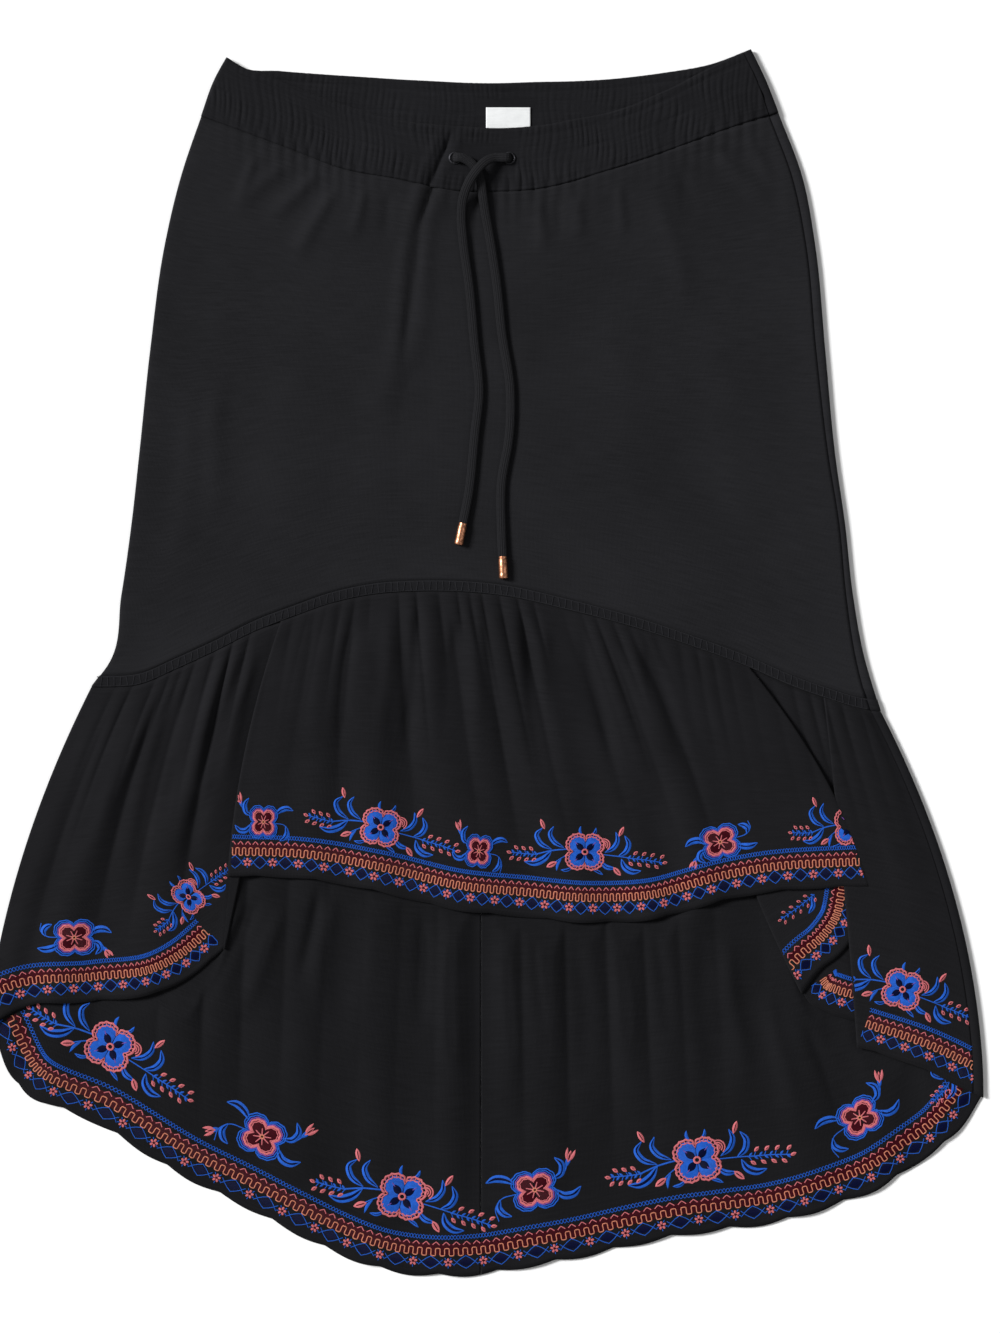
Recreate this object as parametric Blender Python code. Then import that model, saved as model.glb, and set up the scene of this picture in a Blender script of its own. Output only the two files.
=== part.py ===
"""A high-low maxi skirt laid flat, front side up.

A gathered elastic waistband, a plain body, a raised seam band on an arched yoke seam, and a
gathered ruffle that is short in front and long behind. The front ruffle lies in three folds
on the back ruffle. X runs across the skirt, +Y towards the waist, and +Z up from the floor.
Lengths in this file are in millimetres, and MM turns them into the model's metres.
"""
import math

import bpy
import bmesh
import numpy as np
from mathutils import Vector

MM = 0.001

# Cloth
CLOTH = 1.2
BAND_WALL = 2.4
SEAM_BAND_WALL = 2.0
SEAM_BAND_WIDTH = 10.0
LABEL_WALL = 0.6
GAP = 0.3

# Heights of the plies' middle surfaces over the floor
BACK_LEVEL = CLOTH / 2
FRONT_LEVEL = 3.9
BODY_SAG_LEVEL = 2.4
BAND_BACK_LEVEL = BAND_WALL / 2
BAND_FRONT_LEVEL = 5.1
SEAM_BAND_LEVEL = FRONT_LEVEL + (SEAM_BAND_WALL - CLOTH) / 2

# Shares of the way down at which the panels have their rows, alike in front and behind
BAND_ROWS = (0, 0.34, 0.67, 1)
BODY_ROWS = (0, 0.06, 0.15, 0.29, 0.46, 0.65, 0.83, 0.94, 1)
RUFFLE_ROWS = (0, 0.1, 0.23, 0.4, 0.6, 0.8, 1)

# Rounds that settle where a column meets a seam
SEAM_STEPS = 15

# How far the front panels reach under the left fold
LEFT_WRAP = 8.0

# How far inside the ruffle's right edge its side seam lies, and how far such shifts reach in
RIGHT_INSET = 9.0
EDGE_REACH = 90.0

# Gathers: their height, and the columns that make one of them
BAND_GATHERS = 55
BAND_GATHER_HEIGHT = 1.2
RUFFLE_GATHER_PITCH = 22.0
RUFFLE_GATHER_HEIGHT = 1.5
COLUMNS_PER_GATHER = 3
COLUMNS_PER_WAVE = 12

# The ruffle's folds: the height of one ply on another
PLY_PITCH = 2.1

# Scallops of the hem
SCALLOP_PITCH = 53.0
SCALLOP_DEPTH = 4.5
HEM_COLUMN = 13.0

# Drawstring, its metal tips and its eyelets
CORD_DIAMETER = 6.0
CORD_POINT_SPACING = 14.0
TIP_LENGTH = 18.0
TIP_RADIUS = 3.8
TIP_MOUTH_RADIUS = 3.3
TIP_SEGMENTS = 16
EYELET_OUTER = 5.6
EYELET_INNER = 3.7
EYELET_WALL = 0.9
EYELET_SEGMENTS = 24

# Materials: colour, roughness, metallic
BLACK_CREPE = ("black_crepe", (0.014, 0.014, 0.016, 1), 0.85, 0.0)
BLACK_RUFFLE = ("black_crepe_ruffle", (0.011, 0.011, 0.012, 1), 0.85, 0.0)
BLACK_CORD = ("black_cord", (0.017, 0.017, 0.019, 1), 0.8, 0.0)
WHITE_SATIN = ("white_satin_label", (0.83, 0.84, 0.85, 1), 0.5, 0.0)
COPPER = ("copper_tip", (0.44, 0.2, 0.12, 1), 0.35, 1.0)
DARK_METAL = ("dark_metal_eyelet", (0.03, 0.03, 0.033, 1), 0.45, 0.8)


def table(names, *rows):
    """Give a table's columns by name."""
    return dict(zip(names.split(), np.array(rows, dtype=float).T))


# Side outline of the waistband and body, and how far inside the right edge its seam shows
SIDES = table(
    "y left right seam_inset",
    (-43, -367, 355, 9),
    (-21, -355, 348, 9),
    (-1, -340, 342, 8),
    (62, -328, 330, 6),
    (125, -319, 323, 5),
    (188, -312, 314, 6),
    (283, -302, 305, 8),
    (377, -289, 296, 8),
    (440, -274, 284, 9),
    (493, -256, 264, 9),
    (526, -244, 251, 8),
    (553, -229, 238, 8),
)

# Top edge of the waistband, higher behind than in front
BACK_TOP = table(
    "x y",
    (-235, 547),
    (-221, 538),
    (-185, 534),
    (-116, 529),
    (-50, 525),
    (0, 523),
    (40, 524),
    (103, 526),
    (157, 532),
    (202, 540),
    (238, 553),
)
FRONT_TOP = table(
    "x y",
    (-235, 547),
    (-221, 538),
    (-193, 528),
    (-167, 517),
    (-120, 500),
    (-80, 489),
    (-32, 484),
    (13, 482),
    (46, 484),
    (80, 490),
    (121, 499),
    (166, 518),
    (217, 544),
    (238, 553),
)

# Seam between waistband and body
BACK_WAIST = table(
    "x y",
    (-256, 493),
    (-220, 485),
    (-170, 478),
    (-100, 471),
    (0, 468),
    (110, 472),
    (190, 481),
    (264, 497),
)
FRONT_WAIST = table(
    "x y",
    (-256, 493),
    (-229, 483),
    (-175, 463),
    (-130, 446),
    (-77, 436),
    (-37, 427),
    (4, 425),
    (49, 428),
    (112, 445),
    (152, 458),
    (215, 481),
    (264, 497),
)

# Seam between the raised band and the ruffle: arched in front, low behind
FRONT_YOKE = table(
    "x y",
    (-355, -21),
    (-338, -21),
    (-313, -19),
    (-279, -5),
    (-242, 12),
    (-208, 29),
    (-174, 42),
    (-140, 54),
    (-103, 62),
    (-60, 65),
    (22, 60),
    (71, 49),
    (135, 32),
    (184, 16),
    (231, -1),
    (280, -22),
    (312, -33),
    (335, -40),
    (355, -43),
)
BACK_YOKE = table(
    "x y",
    (-355, -21),
    (-250, -42),
    (-125, -60),
    (0, -67),
    (125, -66),
    (250, -57),
    (355, -43),
)

# Seams that run round the flattened tube
TOP_EDGE = dict(front=FRONT_TOP, back=BACK_TOP)
WAIST_SEAM = dict(front=FRONT_WAIST, back=BACK_WAIST)
YOKE_SEAM = dict(front=FRONT_YOKE, back=BACK_YOKE)

# Soft creases of the front body: a ridge or a trough along a line
BODY_CREASES = table(
    "from_x from_y to_x to_y width height",
    (-38, 440, -62, 330, 9, 1.3),
    (-62, 330, -80, 200, 10, 0.9),
    (-150, 440, -198, 400, 11, 1.2),
    (-135, 428, -176, 362, 11, 1.0),
    (205, 452, 262, 410, 11, 1.2),
    (45, 420, 52, 370, 9, 0.9),
    (80, 420, 84, 380, 9, 0.8),
    (-240, 260, -250, 110, 12, 0.8),
    (150, 430, 190, 300, 12, 0.7),
)

# Front ruffle, from the left edge to the right: where a line of the cloth leaves the seam and
# meets the hem, how far it bows sideways, and how many plies it lies up at the hem. A turn of
# 1 is a fold that points right, -1 one that points left, and rise is the way its plies climb.
# Calm cloth has no gathers.
FRONT_RUFFLE = table(
    "seam_x hem_x hem_y bow ply turn rise calm",
    (-355, -450, -328, -15, 0.0, 0, 0, 1),
    (-330, -422, -312, -12, 0.0, 0, 0, 0.3),
    (-280, -350, -304, -9, 0.0, 0, 0, 0),
    (-229, -291, -295, -5, 0.0, 0, 0, 0),
    (-203, -258, -277, -4, 0.0, 0, 0, 0.3),
    (-190, -246, -267, -2, 0.0, 0, 0, 1),
    (-172, -235, -257, 0, 0.5, 1, 1, 1),
    (-184, -232, -191, -8, 1.5, -1, 1, 1),
    (-136, -161, -194, -8, 1.5, 0, 0, 0.6),
    (-103, -103, -204, -4, 0.8, 0, 0, 0),
    (-55, -25, -222, 0, 0.1, 0, 0, 0),
    (-14, 33, -228, 0, 0.0, 0, 0, 0),
    (26, 90, -233, 0, 0.0, 0, 0, 0),
    (71, 152, -230, 2, 0.1, 0, 0, 0),
    (130, 216, -213, 5, 0.8, 0, 0, 0.2),
    (172, 246, -207, 6, 1.9, 0, 0, 0.8),
    (236, 344, -200, 14, 1.5, 1, -1, 1),
    (228, 335, -238, 13, 1.0, 0, 0, 1),
    (214, 318, -262, 6, 1.0, 0, 0, 1),
    (198, 297, -280, -6, 1.0, 0, 0, 1),
    (186, 284, -296, -16, 0.5, -1, -1, 1),
    (204, 291, -306, -6, 0.0, 0, 0, 1),
    (246, 309, -315, 6, 0.0, 0, 0, 1),
    (280, 331, -321, 10, 0.0, 0, 0, 1),
    (316, 359, -329, 14, 0.5, 1, 1, 1),
    (304, 334, -345, 2, 1.5, -1, 1, 1),
    (332, 386, -362, 16, 1.4, 0, 0, 0.8),
    (355, 448, -392, 22, 0.0, 0, 0, 1),
)

# Back ruffle, from the left edge to the right
BACK_RUFFLE = table(
    "seam_x hem_x hem_y bow",
    (-355, -450, -328, -15),
    (-325, -422, -379, -13),
    (-290, -346, -418, -9),
    (-250, -272, -463, -6),
    (-205, -224, -487, -4),
    (-160, -181, -509, -3),
    (-115, -139, -530, -2),
    (-75, -95, -546, -1),
    (-4, -4, -551, 0),
    (35, 44, -543, 0),
    (75, 88, -535, 1),
    (115, 137, -524, 2),
    (150, 176, -516, 3),
    (185, 213, -511, 4),
    (225, 262, -504, 7),
    (262, 314, -489, 12),
    (292, 355, -473, 15),
    (315, 387, -452, 18),
    (335, 418, -429, 20),
    (355, 448, -392, 22),
)
CENTRE_BACK_ROW = 8

# Drawstring: its two free ends, each from its eyelet to its tip, with the height that one
# gains where it crosses over the other
LEFT_STRAND = table(
    "x y lift",
    (21, 455, 0),
    (16, 455, 0),
    (5, 454, 0),
    (-5, 446, 5.2),
    (-14, 434, 6.4),
    (-20, 420, 3.0),
    (-22, 404, 0),
    (-21, 386, 0),
    (-15, 340, 0),
    (-10, 286, 0),
    (-6, 246, 0),
    (-10, 206, 0),
    (-16, 150, 0),
    (-21, 125, 0.6),
)
RIGHT_STRAND = table(
    "x y lift",
    (-28, 455, 0),
    (-23, 455, 0),
    (-16, 452, 0),
    (-9, 445, 0),
    (-5, 434, 0),
    (-2, 414, 0),
    (3, 386, 0),
    (10, 340, 0),
    (14, 300, 0),
    (22, 246, 0),
    (21, 205, 0),
    (14, 162, 0),
    (14, 120, 0),
    (15, 95, 0.6),
)

# Bare label inside the back waistband, and the flat placket with the two eyelets
LABEL = dict(left=0.0, right=40.0, top=501.0, bottom=473.0)
PLACKET = dict(left=-48.0, right=36.0, top=472.0, bottom=438.0)


def along(keys, values, at):
    """Read values on a smooth curve through a table's rows."""
    keys = np.asarray(keys, dtype=float)
    values = np.asarray(values, dtype=float)
    at = np.clip(at, keys[0], keys[-1])
    slopes = np.gradient(values, keys)
    index = np.clip(np.searchsorted(keys, at, side="right") - 1, 0, len(keys) - 2)
    span = keys[index + 1] - keys[index]
    t = (at - keys[index]) / span
    start = (1 + 2 * t) * (1 - t) ** 2 * values[index] + t * (1 - t) ** 2 * span * slopes[index]
    end = t * t * (3 - 2 * t) * values[index + 1] - t * t * (1 - t) * span * slopes[index + 1]
    return start + end


def ease(value):
    """Rise smoothly from 0 to 1."""
    value = np.clip(value, 0, 1)
    return value * value * (3 - 2 * value)


def curve_y(curve, x):
    return along(curve["x"], curve["y"], x)


def seam_y(seam, x, on_top):
    """Read a seam that runs round the tube: its front curve on top, its back curve below."""
    return np.where(on_top, curve_y(seam["front"], x), curve_y(seam["back"], x))


def left_edge(y):
    return along(SIDES["y"], SIDES["left"], y)


def right_edge(y):
    return along(SIDES["y"], SIDES["right"], y)


def seam_inset(y):
    return along(SIDES["y"], SIDES["seam_inset"], y)


def crease_height(x, y):
    """Sum the soft ridges and troughs of the front body at a place."""
    height = np.zeros(np.broadcast(x, y).shape)
    for from_x, from_y, to_x, to_y, width, size in zip(*BODY_CREASES.values()):
        run = np.array((to_x - from_x, to_y - from_y))
        length = np.hypot(*run)
        share = ((x - from_x) * run[0] + (y - from_y) * run[1]) / length ** 2
        across = ((x - from_x) * run[1] - (y - from_y) * run[0]) / length
        fade = ease(4 * share) * ease(4 * (1 - share))
        height += size * np.exp(-(across / width) ** 2) * fade
    return height


def body_level(x, y):
    """Height of the front body's middle surface, low in the middle and high at its seams."""
    below_waist = np.maximum(curve_y(FRONT_WAIST, x) - y, 0)
    above_yoke = np.maximum(y - curve_y(FRONT_YOKE, x) - SEAM_BAND_WIDTH, 0)
    inside = np.maximum(np.minimum(x - left_edge(y), right_edge(y) - x), 0)
    near_waist = np.exp(-(below_waist / 34) ** 2)
    near_yoke = np.exp(-(above_yoke / 30) ** 2)
    near_side = np.exp(-(inside / 22) ** 2)
    apart = (1 - near_waist) * (1 - near_yoke) * (1 - near_side)
    level = BODY_SAG_LEVEL + (FRONT_LEVEL - BODY_SAG_LEVEL) * (1 - apart)
    level += (BAND_FRONT_LEVEL - FRONT_LEVEL) * near_waist * (1 - near_side)
    return level + crease_height(x, y) * apart


def in_box(box, x, y):
    inside_x = (x > box["left"]) & (x < box["right"])
    return inside_x & (y > box["bottom"]) & (y < box["top"])


def fold_arc(low, high):
    """Give the radius and centre height of a side fold, and its turning angles."""
    radius = (high - low) / 2
    return radius, (high + low) / 2, math.radians(45) * np.array((-1, 0, 1))


def front_columns(count, low, high):
    """Columns of a front panel: under the left fold, round it, then across to the right seam.

    Each row is the share of the way across, a shift in x, the share of the seam inset and z.
    """
    radius, centre, angles = fold_arc(low, high)
    columns = [(0, LEFT_WRAP, 0, low), (0, radius, 0, low)]
    for angle in angles:
        columns.append((0, radius * (1 - math.cos(angle)), 0, centre + radius * math.sin(angle)))
    for share in np.linspace(0, 1, count + 1):
        columns.append((share, radius * (1 - share), share, high))
    return np.array(columns).T


def back_columns(count, low, high):
    """Columns of a back panel: across the floor, then round the right fold to its seam."""
    radius, centre, angles = fold_arc(low, high)
    columns = []
    for share in np.linspace(0, 1, count + 1):
        columns.append((share, (LEFT_WRAP + GAP) * (1 - share) - radius * share, 0, low))
    for angle in angles:
        columns.append((1, radius * (math.cos(angle) - 1), 0, centre + radius * math.sin(angle)))
    columns.append((1, -radius, 0, high))
    columns.append((1, GAP, 1, high))
    return np.array(columns).T


def column_x(columns, y):
    """Place a panel's columns across the flattened tube at given heights."""
    share, shift, inset_share = columns[:3]
    x = left_edge(y) * (1 - share) + right_edge(y) * share
    return x + shift - seam_inset(y) * inset_share


def seam_row(columns, seam, distance):
    """Find where a panel's columns meet a line that runs at a distance from a seam."""
    z = columns[3]
    on_top = z > (z.min() + z.max()) / 2 - 0.01
    y = np.full(len(z), float(np.mean(seam["front"]["y"])))
    for _ in range(SEAM_STEPS):
        y = seam_y(seam, column_x(columns, y), on_top) + distance
    return y


def tube_grid(columns, downs, top, top_distance, bottom, bottom_distance):
    """Lay a panel's columns between two seams of the flattened tube."""
    top_y = seam_row(columns, top, top_distance)
    bottom_y = seam_row(columns, bottom, bottom_distance)
    rows = []
    for down in downs:
        y = top_y * (1 - down) + bottom_y * down
        rows.append(np.stack((column_x(columns, y), y, columns[3]), axis=-1))
    return np.array(rows)


def normals(grid):
    """Unit normals of a grid that runs +X across and -Y down: up, where it lies flat."""
    across = np.gradient(grid, axis=1)
    down = np.gradient(grid, axis=0)
    normal = np.cross(down, across)
    return normal / np.linalg.norm(normal, axis=-1, keepdims=True)


def set_material(item, look):
    """Give an object its Principled material."""
    name, colour, roughness, metallic = look
    material = bpy.data.materials.get(name)
    if material is None:
        material = bpy.data.materials.new(name)
        material.use_nodes = True
        shader = material.node_tree.nodes["Principled BSDF"]
        shader.inputs["Base Color"].default_value = colour
        shader.inputs["Roughness"].default_value = roughness
        shader.inputs["Metallic"].default_value = metallic
        material.diffuse_color = colour
    item.data.materials.append(material)


def add_mesh(name, bm, look):
    """Turn a bmesh into a named, smoothly shaded object."""
    bmesh.ops.recalc_face_normals(bm, faces=bm.faces)
    if bm.calc_volume(signed=True) < 0:
        bmesh.ops.reverse_faces(bm, faces=bm.faces)
    mesh = bpy.data.meshes.new(name)
    bm.to_mesh(mesh)
    bm.free()
    mesh.shade_smooth()
    mesh.set_sharp_from_angle(angle=math.radians(50))
    item = bpy.data.objects.new(name, mesh)
    bpy.context.collection.objects.link(item)
    set_material(item, look)
    return item


def add_panel(name, face, reverse, look):
    """Make a closed cloth wall between the grid of its face and the grid of its reverse."""
    rows, columns = face.shape[:2]
    bm = bmesh.new()
    row_of = bm.verts.layers.int.new("row")
    column_of = bm.verts.layers.int.new("column")
    bmesh.ops.create_grid(bm, x_segments=columns - 1, y_segments=rows - 1, size=1)
    for vertex in bm.verts:
        vertex[row_of] = round((1 - vertex.co.y) / 2 * (rows - 1))
        vertex[column_of] = round((1 + vertex.co.x) / 2 * (columns - 1))
    copied = bmesh.ops.extrude_face_region(bm, geom=bm.faces[:], use_keep_orig=True)
    lifted = {item for item in copied["geom"] if isinstance(item, bmesh.types.BMVert)}
    for vertex in bm.verts:
        side = reverse if vertex in lifted else face
        vertex.co = Vector(side[vertex[row_of], vertex[column_of]]) * MM
    return add_mesh(name, bm, look)


def add_wall(name, grid, wall, look, face_extra=0.0, reverse_extra=0.0, back=False, level=None):
    """Thicken a middle surface both ways. A back panel faces the floor, and lies flat on it.

    Level gives each column 1 or -1 where the cloth lies level beside a fold, face up or down.
    """
    normal = normals(grid) * (-1 if back else 1)
    normal[[0, -1], :, 1] = 0
    normal /= np.linalg.norm(normal, axis=-1, keepdims=True)
    if level is not None:
        normal[:, level != 0] = 0
        normal[:, level != 0, 2] = level[level != 0]
    face = grid + normal * (wall / 2 + np.asarray(face_extra))[..., None]
    reverse = grid - normal * (wall / 2 + np.asarray(reverse_extra))[..., None]
    face[..., 2] = np.maximum(face[..., 2], 0)
    return add_panel(name, face, reverse, look)


def band_gathers(grid, level, calm_box, flat_columns):
    """Height of the waistband's gathers: every second column stands up, but none in the box."""
    columns = np.arange(grid.shape[1])
    height = np.where(columns % 2 == 1, BAND_GATHER_HEIGHT, 0.0) * np.ones(grid.shape[:2])
    height[np.abs(grid[..., 2] - level) > 0.01] = 0
    height[:, flat_columns] = 0
    height[in_box(calm_box, grid[..., 0], grid[..., 1])] = 0
    return height


def make_waistband():
    """Elastic waistband: gathers on the front's face, and inside the back where it shows."""
    front = tube_grid(
        front_columns(2 * BAND_GATHERS, BAND_BACK_LEVEL, BAND_FRONT_LEVEL),
        BAND_ROWS,
        TOP_EDGE,
        0,
        WAIST_SEAM,
        0,
    )
    gathers = band_gathers(front, BAND_FRONT_LEVEL, PLACKET, slice(0, 6))
    gathers[:, -1] = 0
    add_wall("waistband_front", front, BAND_WALL, BLACK_CREPE, face_extra=gathers)

    back = tube_grid(
        back_columns(2 * BAND_GATHERS, BAND_BACK_LEVEL, BAND_FRONT_LEVEL),
        BAND_ROWS,
        TOP_EDGE,
        0,
        WAIST_SEAM,
        0,
    )
    calm = dict(left=LABEL["left"] - 10, right=LABEL["right"] + 10, top=535, bottom=450)
    gathers = band_gathers(back, BAND_BACK_LEVEL, calm, slice(-6, None))
    gathers[:, 0] = 0
    add_wall("waistband_back", back, BAND_WALL, BLACK_CREPE, reverse_extra=gathers, back=True)


def make_label():
    """Bare woven label, sewn to the inside of the back waistband."""
    x = np.linspace(LABEL["left"], LABEL["right"], 4)
    y = np.linspace(LABEL["top"], LABEL["bottom"], 3)
    level = BAND_WALL + GAP + LABEL_WALL / 2
    grid = np.array([[(place, row, level) for place in x] for row in y])
    add_wall("label", grid, LABEL_WALL, WHITE_SATIN)


def make_body():
    """Plain body: the front sags between its seams, and the back lies flat on the floor."""
    front = tube_grid(
        front_columns(32, BACK_LEVEL, FRONT_LEVEL),
        BODY_ROWS,
        WAIST_SEAM,
        -GAP,
        YOKE_SEAM,
        SEAM_BAND_WIDTH + 2 * GAP,
    )
    top = front[:, 5:]
    top[..., 2] = body_level(top[..., 0], top[..., 1])
    top[:, 0, 2] = FRONT_LEVEL
    add_wall("body_front", front, CLOTH, BLACK_CREPE)

    back = tube_grid(
        back_columns(18, BACK_LEVEL, FRONT_LEVEL),
        BODY_ROWS,
        WAIST_SEAM,
        -GAP,
        YOKE_SEAM,
        SEAM_BAND_WIDTH + 2 * GAP,
    )
    add_wall("body_back", back, CLOTH, BLACK_CREPE, back=True)


def make_seam_bands():
    """Raised band along the yoke seam, front and back."""
    levels = (SEAM_BAND_WALL / 2, SEAM_BAND_LEVEL)
    front = tube_grid(
        front_columns(56, *levels),
        (0, 1),
        YOKE_SEAM,
        SEAM_BAND_WIDTH + GAP,
        YOKE_SEAM,
        GAP,
    )
    add_wall("seam_band_front", front, SEAM_BAND_WALL, BLACK_CREPE)
    back = tube_grid(
        back_columns(18, *levels),
        (0, 1),
        YOKE_SEAM,
        SEAM_BAND_WIDTH + GAP,
        YOKE_SEAM,
        GAP,
    )
    add_wall("seam_band_back", back, SEAM_BAND_WALL, BLACK_CREPE, back=True)


def run_columns(rows, first, last):
    """Spread columns over the rows of one run of the ruffle, between two folds or edges."""
    seam = rows["seam_x"][first:last + 1]
    hem_x = rows["hem_x"][first:last + 1]
    hem_y = rows["hem_y"][first:last + 1]
    steps = np.hypot(np.diff(hem_x), np.diff(hem_y))
    places = np.concatenate(((0,), np.cumsum(steps)))
    gather_column = RUFFLE_GATHER_PITCH / COLUMNS_PER_GATHER
    at = [0.0]
    for index, step in enumerate(steps):
        by_seam = (seam[index + 1] - seam[index]) / gather_column
        count = max(1, math.ceil(max(by_seam, step / HEM_COLUMN)))
        at.extend(places[index] + step * np.arange(1, count + 1) / count)
    return places, np.array(at)


def ruffle_columns(rows):
    """Give every column of a ruffle: its row values, its side of a fold, and its hem length."""
    turns = rows.get("turn", np.zeros(len(rows["seam_x"])))
    ends = [0] + [index for index, turn in enumerate(turns) if turn] + [len(turns) - 1]
    names = [name for name in rows if name not in ("turn", "rise")]
    columns = []
    travelled = 0.0
    for first, last in zip(ends[:-1], ends[1:]):
        places, at = run_columns(rows, first, last)
        values = {name: rows[name][first:last + 1].copy() for name in names}
        if "ply" in values:
            values["ply"][0] += rows["rise"][first] / 2
            values["ply"][-1] -= rows["rise"][last] / 2
        read = {name: along(places, values[name], at) for name in names}
        for index, place in enumerate(at):
            column = {name: float(read[name][index]) for name in names}
            share = place / places[-1]
            bend = -turns[first] * (1 - share) - turns[last] * share
            column.update(side=0, turn=0, bend=bend, hem_length=travelled + place)
            if index == 0 and turns[first]:
                column.update(side=1, turn=turns[first])
            if index == len(at) - 1 and turns[last]:
                column.update(side=-1, turn=turns[last])
            columns.append(column)
        travelled += places[-1]
        if turns[last]:
            apex = {name: float(rows[name][last]) for name in names}
            apex.update(side=0, turn=turns[last], bend=0, hem_length=travelled)
            columns.append(apex)
    names = names + ["side", "turn", "bend", "hem_length"]
    return {name: np.array([column[name] for column in columns]) for name in names}


def near_end(columns, last):
    """Fall from 1 at a ruffle's first or last column to 0 at EDGE_REACH along the hem."""
    end = columns["hem_length"][-1 if last else 0]
    return np.clip(1 - np.abs(columns["hem_length"] - end) / EDGE_REACH, 0, 1)


def hem_slope(rows, last):
    """Slope of a ruffle's hem at its first or last row."""
    near, far = (-1, -2) if last else (0, 1)
    return (rows["hem_y"][far] - rows["hem_y"][near]) / (rows["hem_x"][far] - rows["hem_x"][near])


def edge_column(rows, yoke, last, shift, z, downs):
    """Lay one column of a ruffle beside its first or last row, moved in x by a shift."""
    end = -1 if last else 0
    downs = np.array(downs)
    seam_x = rows["seam_x"][end] + shift
    start_y = curve_y(yoke, seam_x)
    hem_x = rows["hem_x"][end] + shift
    hem_y = rows["hem_y"][end] + hem_slope(rows, last) * shift
    reach = math.hypot(hem_x - seam_x, hem_y - start_y)
    reached = np.where(downs == 1, 1 - SCALLOP_DEPTH / reach, downs)
    x = seam_x + (hem_x - seam_x) * reached + 4 * rows["bow"][end] * downs * (1 - downs)
    y = start_y + (hem_y - start_y) * reached
    return np.stack((x, y, np.full(len(downs), z)), axis=-1)


def ruffle_grid(rows, columns, downs, yoke, left_shift, right_shift):
    """Lay a ruffle's columns from the seam to the scalloped hem, in plan.

    The shifts move its side edges, and the columns near them by less.
    """
    hem_length = columns["hem_length"][-1]
    scallops = round(hem_length / SCALLOP_PITCH)
    arc = np.abs(np.sin(math.pi * scallops * columns["hem_length"] / hem_length))
    left = left_shift * near_end(columns, False)
    right = right_shift * near_end(columns, True)
    seam_x = columns["seam_x"] + columns["bend"] * PLY_PITCH / 2 + left + right
    start_y = curve_y(yoke, seam_x)
    reach_x = columns["hem_x"] - columns["seam_x"]
    hem_y = columns["hem_y"] + hem_slope(rows, False) * left + hem_slope(rows, True) * right
    reach_y = hem_y - start_y
    reach = np.hypot(reach_x, reach_y)
    trim = -SCALLOP_DEPTH * (1 - arc)
    grid = []
    for down in downs:
        x = seam_x + reach_x * down + 4 * columns["bow"] * down * (1 - down)
        y = start_y + reach_y * down
        if down == 1:
            x = x + trim * reach_x / reach
            y = y + trim * reach_y / reach
        grid.append(np.stack((x, y, np.zeros(len(x))), axis=-1))
    return np.array(grid)


def gather_height(columns, down):
    """Height of the ruffle's gathers: narrow at the seam, and wider waves towards the hem."""
    index = np.arange(len(columns["seam_x"]))
    narrow = 0.5 + 0.5 * np.cos(2 * math.pi * index / COLUMNS_PER_GATHER)
    wide = 0.5 + 0.5 * np.cos(2 * math.pi * index / COLUMNS_PER_WAVE + 1.1)
    narrow_share = (1 - ease((down - 0.3) / 0.5)) * (0.45 + 0.55 * ease(down / 0.15))
    wide_share = ease((down - 0.2) / 0.5)
    return RUFFLE_GATHER_HEIGHT * (narrow * narrow_share + wide * wide_share * (1 - narrow_share))


def make_ruffle_front():
    """Front ruffle, with its three folds lying on each other, wrapped under the left fold."""
    downs = RUFFLE_ROWS
    columns = ruffle_columns(FRONT_RUFFLE)
    radius, centre, angles = fold_arc(BACK_LEVEL, FRONT_LEVEL)
    grid = ruffle_grid(FRONT_RUFFLE, columns, downs, FRONT_YOKE, radius, -RIGHT_INSET)
    for row, down in zip(grid, downs):
        waves = gather_height(columns, down) * (1 - np.clip(columns["calm"], 0, 1))
        row[:, 2] = FRONT_LEVEL + columns["ply"] * PLY_PITCH + waves

    below = (BACK_RUFFLE, BACK_YOKE, False)
    wrap = [edge_column(*below, LEFT_WRAP, BACK_LEVEL, downs)]
    wrap.append(edge_column(*below, radius, BACK_LEVEL, downs))
    for angle in angles:
        shift = radius * (1 - math.cos(angle))
        side = below if angle < 0 else (FRONT_RUFFLE, FRONT_YOKE, False)
        wrap.append(edge_column(*side, shift, centre + radius * math.sin(angle), downs))
    grid = np.concatenate((np.stack(wrap, axis=1), grid), axis=1)
    level = np.concatenate((np.zeros(len(wrap)), -columns["side"] * columns["turn"]))
    add_wall("ruffle_front", grid, CLOTH, BLACK_RUFFLE, level=level)


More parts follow.
